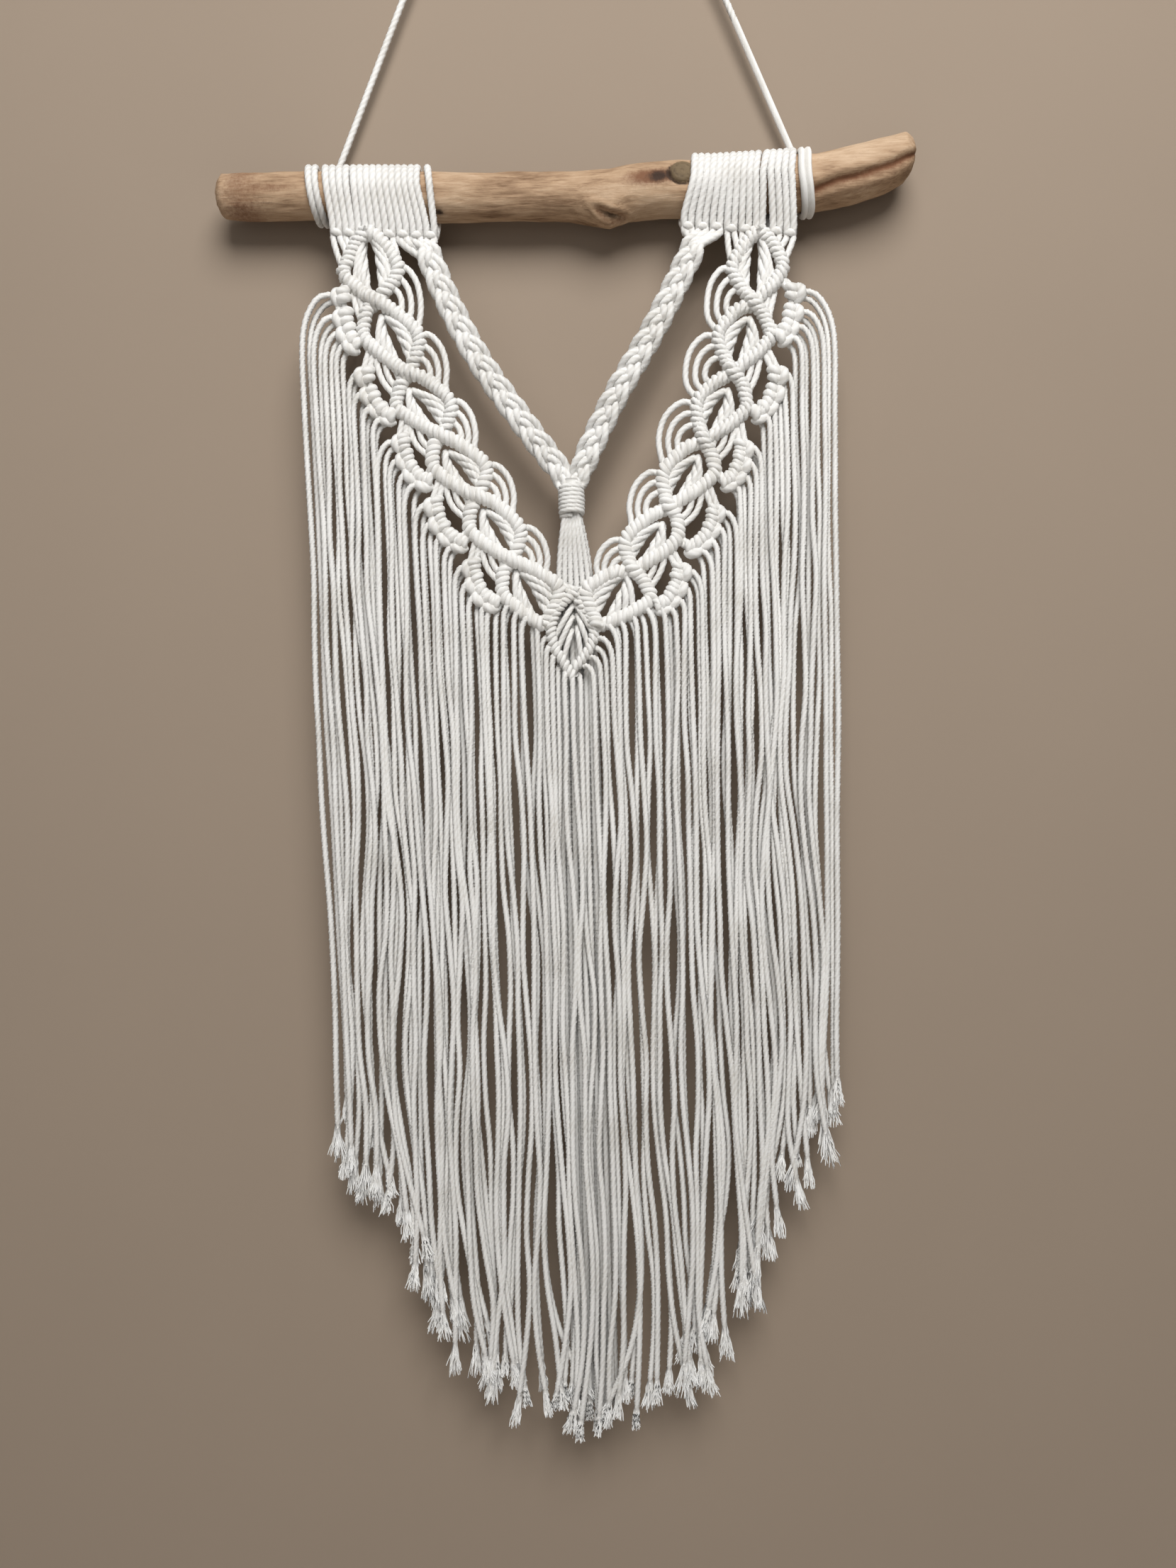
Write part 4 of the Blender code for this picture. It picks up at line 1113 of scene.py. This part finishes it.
def fringe_roots(leaves, side):
    """Where each group starts: two cords from the outer side of each knot, or all along the last bar."""
    groups = []
    for leaf in leaves[:-1]:
        roots = []
        for place, ahead, out in chain_places(leaf, side):
            for step in (-1.6, 1.9):
                root = place + out * 2.6 + ahead * step
                roots.append((root.x, root.z))
        groups.append(roots)
    last = leaves[-1]
    groups.append([between(last.outer, last.crossing, (i + 0.5) / LAST_ROOTS) for i in range(LAST_ROOTS)])
    return groups


def build_fringe(name, leaves, falls, side, node):
    """One half of the fringe: the cords of a chain are spread as far as where the next chain's start."""
    cords = []
    for roots, here, after in zip(fringe_roots(leaves, side), falls, falls[1:]):
        pitch = (after.x - here.x) / here.strands
        for i, root in enumerate(roots):
            index = len(cords) + 0.5 * side
            stray = GROUP_STRAY * math.sin(2.2 * i + 1.3 * here.x) if here.x != falls[0].x else 0.0
            cords.append(fringe_cord(index, root, here.x + pitch * (i + stray), i % 2 == 0))
    hang_cords(name, f"{name}_ends", cords, 20 + side, node)


build_fringe("fringe_cords_left", LEFT_COLUMN, LEFT_FALLS, -1, "fringe_left")
build_fringe("fringe_cords_right", RIGHT_COLUMN, RIGHT_FALLS, 1, "fringe_right")

# For each cord round the centre leaf: where it leaves the bar, and where it hangs
CENTRE_CORDS = [((-14.6, -616.0), -20.0), ((-13.8, -621.8), -17.0), ((-11.8, -627.4), -13.6),
                ((-9.4, -633.0), -10.4), ((-5.6, -638.0), -6.6), ((-1.8, -639.6), -1.8), ((0.6, -638.4), 2.8),
                ((5.0, -633.8), 10.6), ((8.6, -628.8), 14.6), ((11.0, -623.4), 18.2), ((12.6, -617.6), 21.8)]
centre = [fringe_cord(0.31 * i, root, fall_x, i % 3 > 0) for i, (root, fall_x) in enumerate(CENTRE_CORDS)]
hang_cords("fringe_cords_centre", "fringe_centre_ends", centre, 31, "fringe_centre")

# ---------------------------------------------------------------------------------------------------
# Studio. A plain wall close behind the hanging, a pale floor below it, and soft light from the front.
# ---------------------------------------------------------------------------------------------------

WALL_Y = 0.0120          # m
FLOOR_Z = -1.32
WORLD_LIGHT = 0.05


def plain_finish(name, colour, one_sided=False):
    """Plain matt paint, a little mottled. A one-sided wall can't be seen from behind."""
    finish, tree, shader = new_finish(name, Roughness=0.9)
    where = add_node(tree, "ShaderNodeTexCoord").outputs["Object"]
    mottle = clouded(tree, where, 6.0, 4.0)
    darker, lighter = ([value * share for value in colour] for share in (0.97, 1.03))
    paint = toned(tree, mottle, (0.0, darker), (1.0, lighter))
    tree.links.new(paint, shader.inputs["Base Color"])
    if one_sided:
        clear = add_node(tree, "ShaderNodeBsdfTransparent")
        behind = add_node(tree, "ShaderNodeNewGeometry").outputs["Backfacing"]
        mix = add_node(tree, "ShaderNodeMixShader", None, Fac=behind)
        tree.links.new(shader.outputs[0], mix.inputs[1])
        tree.links.new(clear.outputs[0], mix.inputs[2])
        tree.links.new(mix.outputs[0], tree.nodes["Material Output"].inputs[0])
    return finish


def flat_stage(name, size, finish, turned):
    """A square that lies as the floor, or is turned up to stand as the wall."""
    work = bmesh.new()
    bmesh.ops.create_grid(work, x_segments=1, y_segments=1, size=size)
    if turned:
        bmesh.ops.rotate(work, verts=work.verts, matrix=Matrix.Rotation(math.pi / 2, 3, "X"))
        bmesh.ops.translate(work, verts=work.verts, vec=(0.0, WALL_Y, FLOOR_Z + size))
    else:
        bmesh.ops.translate(work, verts=work.verts, vec=(0.0, 0.0, FLOOR_Z))
    mesh = bpy.data.meshes.new(name)
    work.to_mesh(mesh)
    work.free()
    mesh.materials.append(finish)
    made = bpy.data.objects.new(name, mesh)
    bpy.context.scene.collection.objects.link(made)


flat_stage("wall", 2.0, plain_finish("greige wall", (0.312, 0.246, 0.188), one_sided=True), True)
flat_stage("floor", 4.0, plain_finish("pale floor", (0.62, 0.60, 0.57)), False)

world = bpy.data.worlds.new("studio")
world.use_nodes = True
world.node_tree.nodes["Background"].inputs[0].default_value = (0.93, 0.95, 1.0, 1.0)
world.node_tree.nodes["Background"].inputs[1].default_value = WORLD_LIGHT
bpy.context.scene.world = world
bpy.context.scene.view_settings.view_transform = "Standard"


def soft_light(name, place, aim, size, watts, colour):
    """A round lamp that faces the point it is aimed at."""
    lamp = bpy.data.lights.new(name, "AREA")
    lamp.shape = "DISK"
    lamp.size = size
    lamp.energy = watts
    lamp.color = colour
    made = bpy.data.objects.new(name, lamp)
    made.location = place
    made.rotation_euler = (Vector(aim) - Vector(place)).to_track_quat("-Z", "Y").to_euler()
    bpy.context.scene.collection.objects.link(made)


soft_light("window light", (0.20, -1.30, 0.46), (0.02, 0.0, -0.44), 1.2, 32.5, (1.0, 0.99, 0.975))
soft_light("fill light", (-0.7, -2.1, -0.7), (-0.1, 0.0, -0.7), 1.8, 5.5, (1.0, 0.985, 0.97))

# Camera. It stands straight in front of the cloth and is turned a little about its own axis.
LENS_DISTANCE = 0.720                   # m from the lens to the cloth
CLOTH_Y = -0.018
FRAME_ROWS, ROW = 2212, 0.4167          # the frame's rows, and the mm of cloth in each
FRAME_HEIGHT = FRAME_ROWS * ROW * MM
CAMERA_X, CAMERA_Z = 0.0059, -0.70325
SENSOR = 36.0
TILT = math.radians(1.2)

camera = bpy.data.cameras.new("camera")
camera.sensor_width = SENSOR
camera.lens = SENSOR * LENS_DISTANCE / FRAME_HEIGHT
view = bpy.data.objects.new("camera", camera)
view.location = (CAMERA_X, CLOTH_Y - LENS_DISTANCE, CAMERA_Z)
view.rotation_mode = "QUATERNION"
view.rotation_quaternion = (Vector((0.0, 1.0, 0.0)).to_track_quat("-Z", "Y")
                            @ Quaternion((0.0, 0.0, 1.0), -TILT))
bpy.context.scene.collection.objects.link(view)
bpy.context.scene.camera = view

for helper in (FINE_OUTLINE, PLAIN_OUTLINE, THREAD_OUTLINE):
    bpy.data.objects.remove(helper)
